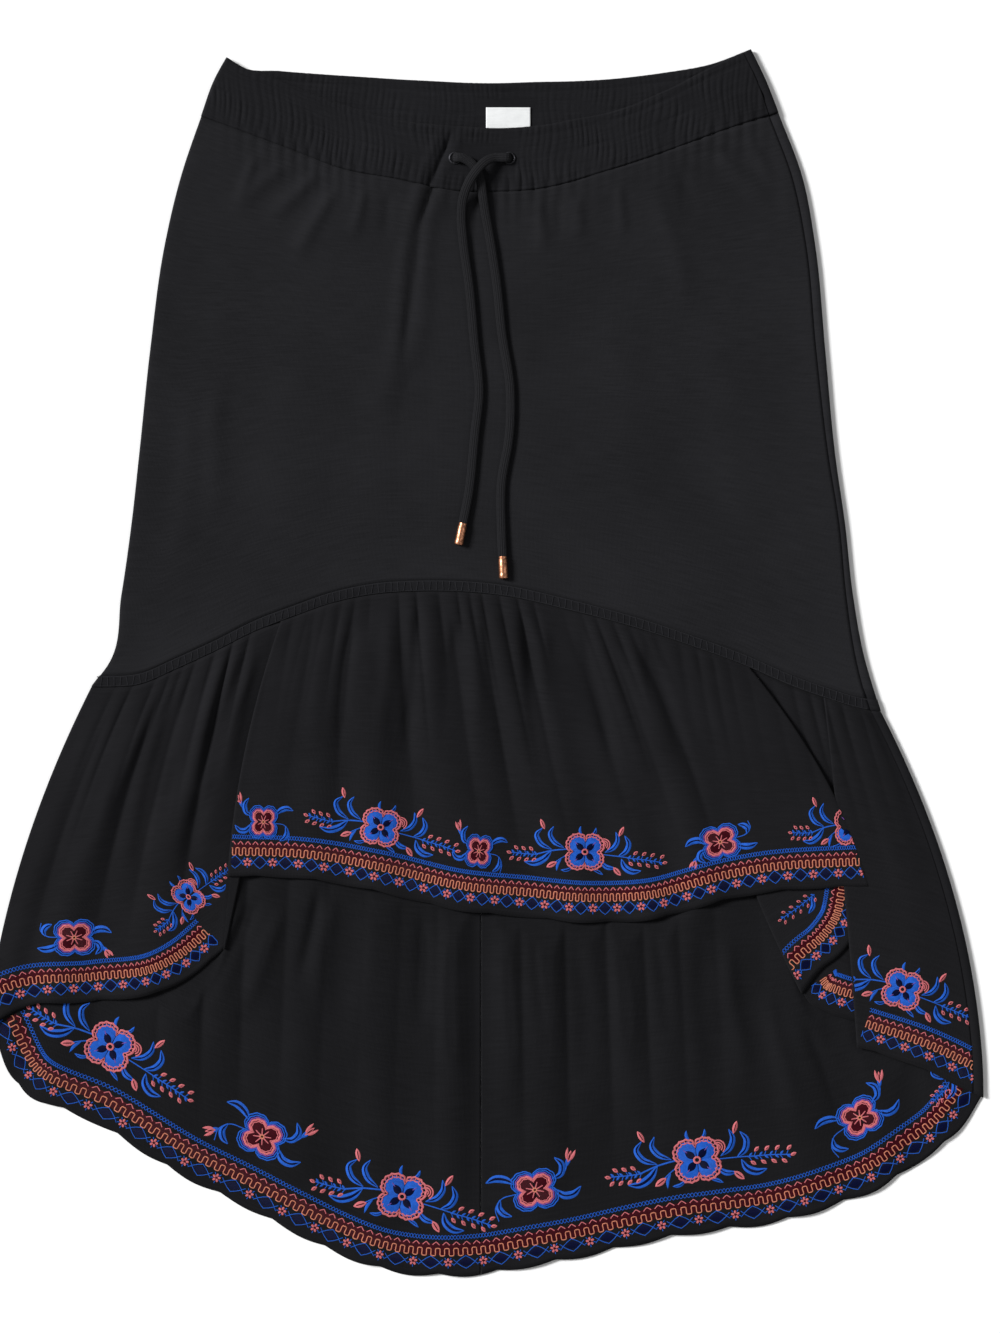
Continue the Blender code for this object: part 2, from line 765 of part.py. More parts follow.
def make_ruffle_back():
    """Back ruffle in two halves, flat below and gathered above, wrapped over the right fold."""
    downs = RUFFLE_ROWS
    columns = ruffle_columns(BACK_RUFFLE)
    radius, middle, angles = fold_arc(BACK_LEVEL, FRONT_LEVEL)
    grid = ruffle_grid(BACK_RUFFLE, columns, downs, BACK_YOKE, LEFT_WRAP + GAP, -radius)
    grid[..., 2] = BACK_LEVEL
    waves = np.array([gather_height(columns, down) for down in downs])
    centre_x = BACK_RUFFLE["seam_x"][CENTRE_BACK_ROW]
    centre = int(np.argmin(np.abs(columns["seam_x"] - centre_x)))

    left = grid[:, :centre + 1].copy()
    left[:, -1, 0] -= GAP / 2
    left_waves = waves[:, :centre + 1].copy()
    left_waves[:, 0] = 0
    add_wall("ruffle_back_left", left, CLOTH, BLACK_RUFFLE, reverse_extra=left_waves, back=True)

    right = grid[:, centre:].copy()
    right[:, 0, 0] += GAP / 2
    above = (FRONT_RUFFLE, FRONT_YOKE, True)
    wrap = []
    for angle in angles:
        shift = radius * (math.cos(angle) - 1)
        side = (BACK_RUFFLE, BACK_YOKE, True) if angle < 0 else above
        wrap.append(edge_column(*side, shift, middle + radius * math.sin(angle), downs))
    wrap.append(edge_column(*above, -radius, FRONT_LEVEL, downs))
    wrap.append(edge_column(*above, GAP - RIGHT_INSET, FRONT_LEVEL, downs))
    right = np.concatenate((right, np.stack(wrap, axis=1)), axis=1)
    right_waves = np.concatenate((waves[:, centre:], np.zeros((len(downs), len(wrap)))), axis=1)
    right_waves[:, -len(wrap) - 1] = 0
    add_wall("ruffle_back_right", right, CLOTH, BLACK_RUFFLE, reverse_extra=right_waves, back=True)


def surface_top(x, y):
    """Height of the front's upper face under the drawstring."""
    on_band = y > curve_y(FRONT_WAIST, x) - CORD_DIAMETER
    band_top = BAND_FRONT_LEVEL + BAND_WALL / 2 + BAND_GATHER_HEIGHT
    return np.where(on_band, band_top, body_level(x, y) + CLOTH / 2)


def strand_route(strand):
    """Give a strand's middle line: up out of its eyelet, then lying on the cloth to its tip."""
    radius = CORD_DIAMETER / 2
    steps = np.hypot(np.diff(strand["x"]), np.diff(strand["y"]))
    places = np.concatenate(((0,), np.cumsum(steps)))
    count = round(places[-1] / CORD_POINT_SPACING)
    at = np.linspace(places[1], places[-1], count)
    at = np.sort(np.concatenate((at, (places[1] + 3.0, places[1] + 7.0))))
    x = along(places, strand["x"], at)
    y = along(places, strand["y"], at)
    z = surface_top(x, y) + GAP + radius + along(places, strand["lift"], at)
    z[1:-1] = np.maximum(z[1:-1], (z[:-2] + z[2:]) / 2)
    placket_top = BAND_FRONT_LEVEL + BAND_WALL / 2
    hole_x = strand["x"][0]
    hole_y = strand["y"][0]
    rise = z[0] - placket_top
    toward = np.sign(x[0] - hole_x)
    start = [
        (hole_x, hole_y, placket_top + GAP),
        (hole_x, hole_y, placket_top + 0.45 * rise),
        (hole_x + toward * 1.4, hole_y, placket_top + 0.82 * rise),
    ]
    return np.concatenate((start, np.stack((x, y, z), axis=-1)))


def add_cord(name, route):
    """Make a cord as a round tube along its route."""
    curve = bpy.data.curves.new(name, "CURVE")
    curve.dimensions = "3D"
    curve.bevel_depth = CORD_DIAMETER / 2 * MM
    curve.bevel_resolution = 2
    curve.use_fill_caps = True
    spline = curve.splines.new("POLY")
    spline.points.add(len(route) - 1)
    for point, place in zip(spline.points, route):
        point.co = (*(Vector(place) * MM), 1)
    item = bpy.data.objects.new(name, curve)
    bpy.context.collection.objects.link(item)
    set_material(item, BLACK_CORD)


def add_tip(name, route):
    """Make a cord's metal tip, in line with the cord's end."""
    end = Vector(route[-1])
    heading = (end - Vector(route[-2])).normalized()
    bm = bmesh.new()
    bmesh.ops.create_cone(
        bm,
        cap_ends=True,
        segments=TIP_SEGMENTS,
        radius1=TIP_MOUTH_RADIUS * MM,
        radius2=TIP_RADIUS * MM,
        depth=TIP_LENGTH * MM,
    )
    rims = [edge for edge in bm.edges if abs(edge.verts[0].co.z - edge.verts[1].co.z) < MM]
    bmesh.ops.bevel(bm, geom=rims, offset=0.8 * MM, segments=1, affect="EDGES")
    item = add_mesh(name, bm, COPPER)
    item.rotation_mode = "QUATERNION"
    item.rotation_quaternion = heading.to_track_quat("Z", "Y")
    item.location = (end + heading * (GAP + TIP_LENGTH / 2)) * MM


def add_eyelet(name, x, y):
    """Make a flat ring round a cord's hole, seated on the placket."""
    bm = bmesh.new()
    low = BAND_FRONT_LEVEL + BAND_WALL / 2 + GAP
    high = low + EYELET_WALL
    middle = (EYELET_INNER + EYELET_OUTER) / 2
    shoulder = low + 0.45
    section = [(EYELET_INNER, low), (EYELET_OUTER, low), (EYELET_OUTER, shoulder)]
    section += [(middle + 0.3, high), (middle - 0.3, high), (EYELET_INNER, shoulder)]
    corners = [bm.verts.new(Vector((radius, 0, z)) * MM) for radius, z in section]
    edges = [bm.edges.new((a, b)) for a, b in zip(corners, corners[1:] + corners[:1])]
    bmesh.ops.spin(
        bm,
        geom=corners + edges,
        cent=(0, 0, 0),
        axis=(0, 0, 1),
        angle=2 * math.pi,
        steps=EYELET_SEGMENTS,
        use_merge=True,
    )
    bmesh.ops.remove_doubles(bm, verts=bm.verts, dist=0.01 * MM)
    item = add_mesh(name, bm, DARK_METAL)
    item.location = (x * MM, y * MM, 0)


def make_drawstring():
    """Two free ends of the drawstring, the left one over the right, with tips and eyelets."""
    for side, strand in (("left", LEFT_STRAND), ("right", RIGHT_STRAND)):
        route = strand_route(strand)
        add_cord("drawstring_" + side, route)
        add_tip("tip_" + side, route)
    add_eyelet("eyelet_right", LEFT_STRAND["x"][0], LEFT_STRAND["y"][0])
    add_eyelet("eyelet_left", RIGHT_STRAND["x"][0], RIGHT_STRAND["y"][0])


def main():
    for item in list(bpy.data.objects):
        bpy.data.objects.remove(item, do_unlink=True)
    make_waistband()
    make_label()
    make_body()
    make_seam_bands()
    make_ruffle_front()
    make_ruffle_back()
    make_drawstring()


main()
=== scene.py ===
"""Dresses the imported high-low maxi skirt: crepe, drawstrings, label, stitching, embroidery.

Lengths are in millimetres up to the meshes, where MM turns them into metres. X runs across
the skirt, +Y towards the waist, and +Z up from the floor that it lies on.
"""
import math

import bmesh
import bpy
import numpy as np
from mathutils import Matrix, Vector


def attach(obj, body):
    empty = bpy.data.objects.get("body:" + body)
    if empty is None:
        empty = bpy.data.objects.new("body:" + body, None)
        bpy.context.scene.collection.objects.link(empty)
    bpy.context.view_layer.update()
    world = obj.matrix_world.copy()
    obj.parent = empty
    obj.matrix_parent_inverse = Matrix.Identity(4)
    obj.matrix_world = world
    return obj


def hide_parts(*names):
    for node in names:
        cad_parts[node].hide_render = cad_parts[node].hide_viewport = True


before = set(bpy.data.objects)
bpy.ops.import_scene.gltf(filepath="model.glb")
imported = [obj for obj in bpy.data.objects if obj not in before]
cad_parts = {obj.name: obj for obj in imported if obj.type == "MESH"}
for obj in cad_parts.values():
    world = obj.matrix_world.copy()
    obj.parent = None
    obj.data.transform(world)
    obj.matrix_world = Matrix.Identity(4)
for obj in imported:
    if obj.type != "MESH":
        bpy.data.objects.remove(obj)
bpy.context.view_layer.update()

bl_info = {
    "name": "High-low maxi skirt",
    "version": (1, 0, 0),
    "blender": (4, 5, 0),
    "location": "View3D > Sidebar > Skirt",
    "description": "Cloth, drawstrings, stitching and embroidery on the packed skirt",
    "category": "Object",
}

MM = 0.001
SHARP_EDGE = math.radians(40)

# Stage: floor, camera over the skirt and light of the sky
FLOOR_REACH = 4.0
FLOOR_LEVEL = -0.6
CAMERA_AT = (12.6, -2.3)
CAMERA_LENS = 85.0
SKY_LIGHT = 0.26

# Levels of the plies' middle surfaces and the walls, as in the solids
CLOTH = 1.2
BAND_WALL = 2.4
SEAM_BAND_WALL = 2.0
SEAM_BAND_WIDTH = 10.0
GAP = 0.3
BACK_LEVEL = 0.6
FRONT_LEVEL = 3.9
BODY_SAG_LEVEL = 2.4
BAND_BACK_LEVEL = 1.2
BAND_FRONT_LEVEL = 5.1
SEAM_BAND_LEVEL = 4.3
PLY_PITCH = 2.1
LEFT_WRAP = 8.0
RIGHT_INSET = 9.0
EDGE_REACH = 90.0
SCALLOP_PITCH = 53.0
CORD_RADIUS = 3.0
CORD_POINT_SPACING = 14.0
BAND_GATHER_HEIGHT = 1.2
SEAM_STEPS = 15

# Cloth of the dressed yoke band and label, and the half width from which a stroke is wide
SEAM_CLOTH = 1.6
LABEL_CLOTH = 0.5
WIDE_STROKE = 1.5

# Dressed ruffles: spacings across the gathers and down them, depths, and dips of the scallops
ACROSS = 2.1
DOWNWARDS = 5.0
FRONT_DEPTH = 300.0
BACK_DEPTH = 480.0
FRONT_SCALLOP = 1.6
BACK_SCALLOP = 3.4
SCALLOPS_FROM = 0.9
SCALLOPS_SHARE = 0.1

# How far from its ends a ruffle rises to its folds, and from its sides the front rises
RUFFLE_ENDS = 40.0
FRONT_SIDES = 12.0

# Turning angles of a fold's columns, and how many columns a left fold has
FOLD_ANGLES = np.radians(np.linspace(-60, 60, 5))
FOLD_COLUMNS = len(FOLD_ANGLES) + 2

# Grids of the other panels: columns across the part that lies flat, and rows
BAND_FRONT_GRID = (560, 30)
BAND_BACK_GRID = (560, 36)
BODY_FRONT_GRID = (210, 120)
BODY_BACK_GRID = (80, 50)
SEAM_FRONT_GRID = (300, 8)
SEAM_BACK_GRID = (120, 4)

# Pitches of the weaves and stitches, in metres
WARP_PITCH = 0.0011
WEFT_PITCH = 0.0009
SATIN_STITCH_PITCH = 0.00062
BRAID_PITCH = 0.0021
RIB_PITCH = 0.00055

# Rows of the hem's border: the distance of their middles from the edge, and their repeats
LOZENGES_AT = 13.4
MEANDER_AT = 22.8
GROUND_AT = 25.2
CHEVRONS_AT = 29.2
CHAIN_AT = 36.0
LOZENGE_PITCH = 33.0
MEANDER_PITCH = 8.8
CHEVRON_PITCH = 10.0
CHAIN_PITCH = 6.4
FRONT_STRETCH = 0.68

# Ladder stitches of the yoke band, and the lines along its two edges
LADDER_ENDS = (-346, 342)
LADDER_PITCH = 5.8
EDGE_LINES = (1.2, 9.4)

THREADS = ("royal_blue", "navy", "coral", "peach", "burgundy", "lavender")


def table(names, *rows):
    """Give a table's columns by name."""
    return dict(zip(names.split(), np.array(rows, dtype=float).T))


SIDES = table(
    "y left right seam_inset",
    (-43, -367, 355, 9),
    (-21, -355, 348, 9),
    (-1, -340, 342, 8),
    (62, -328, 330, 6),
    (125, -319, 323, 5),
    (188, -312, 314, 6),
    (283, -302, 305, 8),
    (377, -289, 296, 8),
    (440, -274, 284, 9),
    (493, -256, 264, 9),
    (526, -244, 251, 8),
    (553, -229, 238, 8),
)
BACK_TOP = table(
    "x y",
    (-235, 547), (-221, 538), (-185, 534), (-116, 529), (-50, 525), (0, 523), (40, 524),
    (103, 526), (157, 532), (202, 540), (238, 553),
)
FRONT_TOP = table(
    "x y",
    (-235, 547), (-221, 538), (-193, 528), (-167, 517), (-120, 500), (-80, 489), (-32, 484),
    (13, 482), (46, 484), (80, 490), (121, 499), (166, 518), (217, 544), (238, 553),
)
BACK_WAIST = table(
    "x y",
    (-256, 493), (-220, 485), (-170, 478), (-100, 471), (0, 468), (110, 472), (190, 481),
    (264, 497),
)
FRONT_WAIST = table(
    "x y",
    (-256, 493), (-229, 483), (-175, 463), (-130, 446), (-77, 436), (-37, 427), (4, 425),
    (49, 428), (112, 445), (152, 458), (215, 481), (264, 497),
)
FRONT_YOKE = table(
    "x y",
    (-355, -21), (-338, -21), (-313, -19), (-279, -5), (-242, 12), (-208, 29), (-174, 42),
    (-140, 54), (-103, 62), (-60, 65), (22, 60), (71, 49), (135, 32), (184, 16), (231, -1),
    (280, -22), (312, -33), (335, -40), (355, -43),
)
BACK_YOKE = table(
    "x y",
    (-355, -21), (-250, -42), (-125, -60), (0, -67), (125, -66), (250, -57), (355, -43),
)
TOP_EDGE = dict(front=FRONT_TOP, back=BACK_TOP)
WAIST_SEAM = dict(front=FRONT_WAIST, back=BACK_WAIST)
YOKE_SEAM = dict(front=FRONT_YOKE, back=BACK_YOKE)

# Front ruffle from the left edge to the right, with its folds, and back ruffle
FRONT_RUFFLE = table(
    "seam_x hem_x hem_y bow ply turn rise calm",
    (-355, -450, -328, -15, 0.0, 0, 0, 1),
    (-330, -422, -312, -12, 0.0, 0, 0, 0.3),
    (-280, -350, -304, -9, 0.0, 0, 0, 0),
    (-229, -291, -295, -5, 0.0, 0, 0, 0),
    (-203, -258, -277, -4, 0.0, 0, 0, 0.3),
    (-190, -246, -267, -2, 0.0, 0, 0, 1),
    (-172, -235, -257, 0, 0.5, 1, 1, 1),
    (-184, -232, -191, -8, 1.5, -1, 1, 1),
    (-136, -161, -194, -8, 1.5, 0, 0, 0.6),
    (-103, -103, -204, -4, 0.8, 0, 0, 0),
    (-55, -25, -222, 0, 0.1, 0, 0, 0),
    (-14, 33, -228, 0, 0.0, 0, 0, 0),
    (26, 90, -233, 0, 0.0, 0, 0, 0),
    (71, 152, -230, 2, 0.1, 0, 0, 0),
    (130, 216, -213, 5, 0.8, 0, 0, 0.2),
    (172, 246, -207, 6, 1.9, 0, 0, 0.8),
    (236, 344, -200, 14, 1.5, 1, -1, 1),
    (228, 335, -238, 13, 1.0, 0, 0, 1),
    (214, 318, -262, 6, 1.0, 0, 0, 1),
    (198, 297, -280, -6, 1.0, 0, 0, 1),
    (186, 284, -296, -16, 0.5, -1, -1, 1),
    (204, 291, -306, -6, 0.0, 0, 0, 1),
    (246, 309, -315, 6, 0.0, 0, 0, 1),
    (280, 331, -321, 10, 0.0, 0, 0, 1),
    (316, 359, -329, 14, 0.5, 1, 1, 1),
    (304, 334, -345, 2, 1.5, -1, 1, 1),
    (332, 386, -362, 16, 1.4, 0, 0, 0.8),
    (355, 448, -392, 22, 0.0, 0, 0, 1),
)
BACK_RUFFLE = table(
    "seam_x hem_x hem_y bow",
    (-355, -450, -328, -15),
    (-325, -422, -379, -13),
    (-290, -346, -418, -9),
    (-250, -272, -463, -6),
    (-205, -224, -487, -4),
    (-160, -181, -509, -3),
    (-115, -139, -530, -2),
    (-75, -95, -546, -1),
    (-4, -4, -551, 0),
    (35, 44, -543, 0),
    (75, 88, -535, 1),
    (115, 137, -524, 2),
    (150, 176, -516, 3),
    (185, 213, -511, 4),
    (225, 262, -504, 7),
    (262, 314, -489, 12),
    (292, 355, -473, 15),
    (315, 387, -452, 18),
    (335, 418, -429, 20),
    (355, 448, -392, 22),
)
CENTRE_BACK_X = -4.0


def crease_table(*rows):
    """Soft creases placed one by one: a ridge or a trough along a line, in mm."""
    return table("from_x from_y to_x to_y width height", *rows)


BODY_CREASES = crease_table(
    (-44, 482, -74, 375, 6, 2.3),
    (-20, 482, -56, 375, 6, 1.6),
    (-68, 408, -86, 250, 7, 2.2),
    (-48, 408, -66, 250, 8, 1.6),
    (-30, 486, -66, 375, 2.6, -3.0),
    (-56, 414, -77, 255, 3.2, -1.8),
    (-80, 300, -100, 190, 14, 1.2),
    (-150, 446, -198, 395, 7, 2.4),
    (-135, 432, -176, 355, 7, 2.2),
    (-176, 452, -232, 405, 7, 1.8),
    (205, 462, 262, 412, 7, 2.6),
    (188, 468, 250, 446, 5, -1.6),
    (45, 424, 52, 365, 6, 1.9),
    (80, 424, 84, 375, 6, 1.8),
    (62, 424, 68, 380, 4, -1.0),
    (-240, 262, -250, 108, 12, 2.0),
    (-262, 250, -278, 70, 12, 1.4),
    (150, 436, 190, 300, 10, 1.6),
    (-108, 430, -122, 380, 5, 1.7),
    (-88, 428, -92, 375, 5, -1.2),
    (-16, 420, -18, 375, 4, 1.4),
    (118, 434, 126, 380, 5, 1.6),
    (175, 450, 188, 395, 6, -1.4),
    (-205, 460, -226, 410, 5, 1.5),
    (235, 476, 262, 425, 6, 1.8),
    (262, 470, 282, 380, 8, 1.6),
    (-60, 300, -70, 60, 18, -1.2),
    (30, 330, 48, 80, 24, 1.2),
    (110, 330, 150, 90, 24, 1.3),
    (200, 330, 236, 70, 22, 1.2),
    (-170, 320, -190, 60, 26, 1.2),
    (-120, 260, -136, 90, 16, -0.8),
)
BAND_CREASES = crease_table(
    (-28, 486, -62, 402, 3, -2.4),
    (-40, 486, -72, 402, 5, 1.2),
    (-18, 486, -52, 402, 5, 0.8),
)
RUFFLE_CREASES = crease_table(
    (-217, 18, -257, -122, 7, -2.6),
    (-205, 16, -242, -120, 7, 1.8),
    (-257, -110, -268, -200, 9, -2.0),
    (-250, 2, -296, -160, 8, -2.2),
    (139, 26, 186, -104, 6, -2.8),
    (126, 28, 166, -110, 8, 1.8),
    (193, 8, 249, -114, 6, -2.8),
    (180, 10, 232, -110, 8, 1.6),
    (233, -80, 253, -130, 6, -2.2),
    (247, -20, 316, -128, 7, -2.6),
    (-60, 56, -72, -100, 6, -2.4),
    (-86, 58, -96, -110, 8, 1.6),
    (30, 52, 54, -135, 7, -2.6),
    (44, 50, 72, -120, 8, 1.6),
    (-120, 46, -134, -90, 6, -2.2),
    (-150, 40, -158, -100, 7, 1.4),
    (85, 40, 120, -110, 6, -2.4),
    (-14, 56, -6, -120, 8, 1.8),
    (-300, -26, -362, -190, 8, 2.0),
    (-282, -22, -324, -205, 7, -2.0),
    (-318, -30, -392, -230, 9, -1.6),
    (330, -60, 392, -260, 10, 1.8),
    (300, -50, 354, -210, 8, 1.6),
    (318, -55, 374, -230, 6, -1.4),
)
BACK_CREASES = crease_table(
    (-150, -196, -168, -300, 6, -2.6),
    (-140, -200, -152, -330, 9, 2.6),
    (-200, -206, -262, -312, 7, -2.6),
    (-178, -214, -232, -335, 9, 2.6),
    (-228, -250, -300, -335, 9, 2.0),
    (-104, -206, -116, -380, 13, 2.2),
    (-58, -216, -56, -340, 7, -2.2),
    (-34, -222, -34, -400, 10, 2.4),
    (18, -228, 26, -420, 12, 2.4),
    (44, -230, 52, -350, 6, -2.0),
    (82, -230, 94, -400, 10, -2.6),
    (112, -234, 132, -380, 10, 2.8),
    (150, -230, 168, -350, 7, -2.2),
    (190, -226, 208, -430, 12, -2.2),
    (214, -240, 236, -400, 9, 2.4),
    (250, -280, 282, -430, 9, 2.2),
    (286, -318, 330, -420, 7, -2.0),
)

# Edge of the front hem over the back ruffle, which lies calm beneath it
FRONT_HEM = table(
    "x y",
    (-450, -328), (-350, -306), (-283, -291), (-240, -261), (-224, -203), (-103, -204),
    (33, -228), (152, -230), (262, -215), (280, -280), (337, -347), (448, -392),
)

# Drawstring: its two free ends, each from its eyelet to its tip
LEFT_STRAND = table(
    "x y lift",
    (21, 455, 0), (16, 455, 0), (5, 454, 0), (-5, 446, 5.2), (-14, 434, 6.4),
    (-20, 420, 3.0), (-22, 404, 0), (-21, 386, 0), (-15, 340, 0), (-10, 286, 0),
    (-6, 246, 0), (-10, 206, 0), (-16, 150, 0), (-21, 125, 0.6),
)
RIGHT_STRAND = table(
    "x y lift",
    (-28, 455, 0), (-23, 455, 0), (-16, 452, 0), (-9, 445, 0), (-5, 434, 0), (-2, 414, 0),
    (3, 386, 0), (10, 340, 0), (14, 300, 0), (22, 246, 0), (21, 205, 0), (14, 162, 0),
    (14, 120, 0), (15, 95, 0.6),
)
PLACKET = dict(left=-38.0, right=28.0, top=470.0, bottom=440.0)
LABEL = dict(left=0.0, right=40.0, top=501.0, bottom=473.0)
AROUND_LABEL = dict(left=-8.0, right=48.0, top=510.0, bottom=465.0)


def along(keys, values, at):
    """Read values on a smooth curve through a table's rows."""
    keys = np.asarray(keys, dtype=float)
    values = np.asarray(values, dtype=float)
    at = np.clip(at, keys[0], keys[-1])
    slopes = np.gradient(values, keys)
    index = np.clip(np.searchsorted(keys, at, side="right") - 1, 0, len(keys) - 2)
    span = keys[index + 1] - keys[index]
    t = (at - keys[index]) / span
    start = (1 + 2 * t) * (1 - t) ** 2 * values[index] + t * (1 - t) ** 2 * span * slopes[index]
    end = t * t * (3 - 2 * t) * values[index + 1] - t * t * (1 - t) * span * slopes[index + 1]
    return start + end


def running_total(steps):
    """Sum steps one after another, from 0."""
    return np.concatenate(((0,), np.cumsum(steps)))


def ease(value):
    """Rise smoothly from 0 to 1."""
    value = np.clip(value, 0, 1)
    return value * value * (3 - 2 * value)


def curve_y(curve, x):
    return along(curve["x"], curve["y"], x)


def left_edge(y):
    return along(SIDES["y"], SIDES["left"], y)


def right_edge(y):
    return along(SIDES["y"], SIDES["right"], y)


def creases(rows, x, y):
    """Sum the soft, uneven ridges and troughs that a table lists, at a place."""
    height = np.zeros(np.broadcast(x, y).shape)
    for index, row in enumerate(zip(*rows.values())):
        from_x, from_y, to_x, to_y, width, size = row
        run = np.array((to_x - from_x, to_y - from_y))
        length = np.hypot(*run)
        share = ((x - from_x) * run[0] + (y - from_y) * run[1]) / length ** 2
        across = ((x - from_x) * run[1] - (y - from_y) * run[0]) / length
        across = across + 0.18 * width * np.sin(share * length / 19 + index)
        spread = width * (0.75 + 0.5 * np.clip(share, 0, 1))
        fade = ease(4 * share) * ease(2.5 * (1 - share))
        height += size * np.exp(-(across / spread) ** 2) * fade
    return height


def body_level(x, y):
    """Height of the front body's middle surface, low in the middle and high at its seams."""
    below_waist = np.maximum(curve_y(FRONT_WAIST, x) - y, 0)
    above_yoke = np.maximum(y - curve_y(FRONT_YOKE, x) - SEAM_BAND_WIDTH, 0)
    inside = np.maximum(np.minimum(x - left_edge(y), right_edge(y) - x), 0)
    near_waist = np.exp(-(below_waist / 34) ** 2)
    near_yoke = np.exp(-(above_yoke / 30) ** 2)
    near_side = np.exp(-(inside / 22) ** 2)
    apart = (1 - near_waist) * (1 - near_yoke) * (1 - near_side)
    level = BODY_SAG_LEVEL + (FRONT_LEVEL - BODY_SAG_LEVEL) * (1 - apart)
    level = level + (BAND_FRONT_LEVEL - FRONT_LEVEL) * near_waist * (1 - near_side)
    level = level + puckers(x) * np.exp(-(below_waist / 24) ** 2) * (1 - near_side)
    return level + creases(BODY_CREASES, x, y) * (1 - near_side)


def puckers(x):
    """Uneven gathers where the body is drawn into the waistband."""
    folds = (np.sin(math.pi * (x + 2.4 * np.sin(x / 23)) / 11.5) ** 2 + 0.01) ** 0.4
    return 1.7 * (folds - 0.7) * (0.6 + 0.4 * np.sin(x / 31 + 0.6))


def fold_arc(low, high):
    """Give the radius and centre height of a side fold."""
    return (high - low) / 2, (high + low) / 2


def front_columns(count, low, high):
    """Columns of a front panel: under the left fold, round it, then across to the right seam.

    Each row is the share of the way across, a shift in x, the share of the seam inset and z.
    """
    radius, centre = fold_arc(low, high)
    columns = [(0, LEFT_WRAP, 0, low), (0, radius, 0, low)]
    for angle in FOLD_ANGLES:
        columns.append((0, radius * (1 - math.cos(angle)), 0, centre + radius * math.sin(angle)))
    for share in np.linspace(0, 1, count + 1):
        columns.append((share, radius * (1 - share), share, high))
    return np.array(columns).T


def back_columns(count, low, high):
    """Columns of a back panel: across the floor, then round the right fold to its seam."""
    radius, centre = fold_arc(low, high)
    columns = []
    for share in np.linspace(0, 1, count + 1):
        columns.append((share, (LEFT_WRAP + GAP) * (1 - share) - radius * share, 0, low))
    for angle in FOLD_ANGLES:
        columns.append((1, radius * (math.cos(angle) - 1), 0, centre + radius * math.sin(angle)))
    columns.append((1, -radius, 0, high))
    columns.append((1, GAP, 1, high))
    return np.array(columns).T


def column_x(columns, y):
    """Place a panel's columns across the flattened tube at given heights."""
    share, shift, inset_share = columns[:3]
    inset = along(SIDES["y"], SIDES["seam_inset"], y)
    x = left_edge(y) * (1 - share) + right_edge(y) * share
    return x + shift - inset * inset_share


def seam_row(columns, seam, distance):
    """Find where a panel's columns meet a line that runs at a distance from a seam."""
    z = columns[3]
    on_top = z > (z.min() + z.max()) / 2 - 0.01
    y = np.full(len(z), float(np.mean(seam["front"]["y"])))
    for _ in range(SEAM_STEPS):
        x = column_x(columns, y)
        y = np.where(on_top, curve_y(seam["front"], x), curve_y(seam["back"], x)) + distance
    return y


def tube_grid(columns, rows, top, top_distance, bottom, bottom_distance):
    """Lay a panel's columns between two seams of the flattened tube."""
    top_y = seam_row(columns, top, top_distance)
    bottom_y = seam_row(columns, bottom, bottom_distance)
    grid = []
    for down in np.linspace(0, 1, rows + 1):
        y = top_y * (1 - down) + bottom_y * down
        grid.append(np.stack((column_x(columns, y), y, columns[3]), axis=-1))
    return np.array(grid)


def lay_panel(place, size, levels, limits):
    """Lay a front or back panel as a grid of a given size, between its levels and seams."""
    columns, rows = size
    return tube_grid(place(columns, *levels), rows, *limits)


def cloth_map(grid):
    """Give each place of a grid its place in the flat cloth, in metres."""
    across = np.linalg.norm(np.diff(grid, axis=1), axis=-1).mean(axis=0)
    down = np.linalg.norm(np.diff(grid, axis=0), axis=-1).mean(axis=1)
    return np.stack(np.meshgrid(running_total(across), -running_total(down)), axis=-1) * MM


class Value:
    """A node's output that arithmetic can use."""

    def __init__(self, finish, socket):
        self.finish = finish
        self.socket = socket

    def math(self, operation, *others):
        return self.finish.node("ShaderNodeMath", {"operation": operation}, (self, *others))

    def __add__(self, other):
        return self.math("ADD", other)

    def __sub__(self, other):
        return self.math("SUBTRACT", other)

    def __rsub__(self, other):
        return self.finish.node("ShaderNodeMath", {"operation": "SUBTRACT"}, (other, self))

    def __mul__(self, other):
        return self.math("MULTIPLY", other)

    __radd__ = __add__
    __rmul__ = __mul__

    def wave(self, pitch):
        return (self * (2 * math.pi / pitch)).math("SINE")

    def between(self, low, high):
        """Rise smoothly from 0 at low to 1 at high."""
        settings = {"interpolation_type": "SMOOTHSTEP"}
        inputs = {"Value": self, "From Min": low, "From Max": high}
        return self.finish.node("ShaderNodeMapRange", settings, inputs)


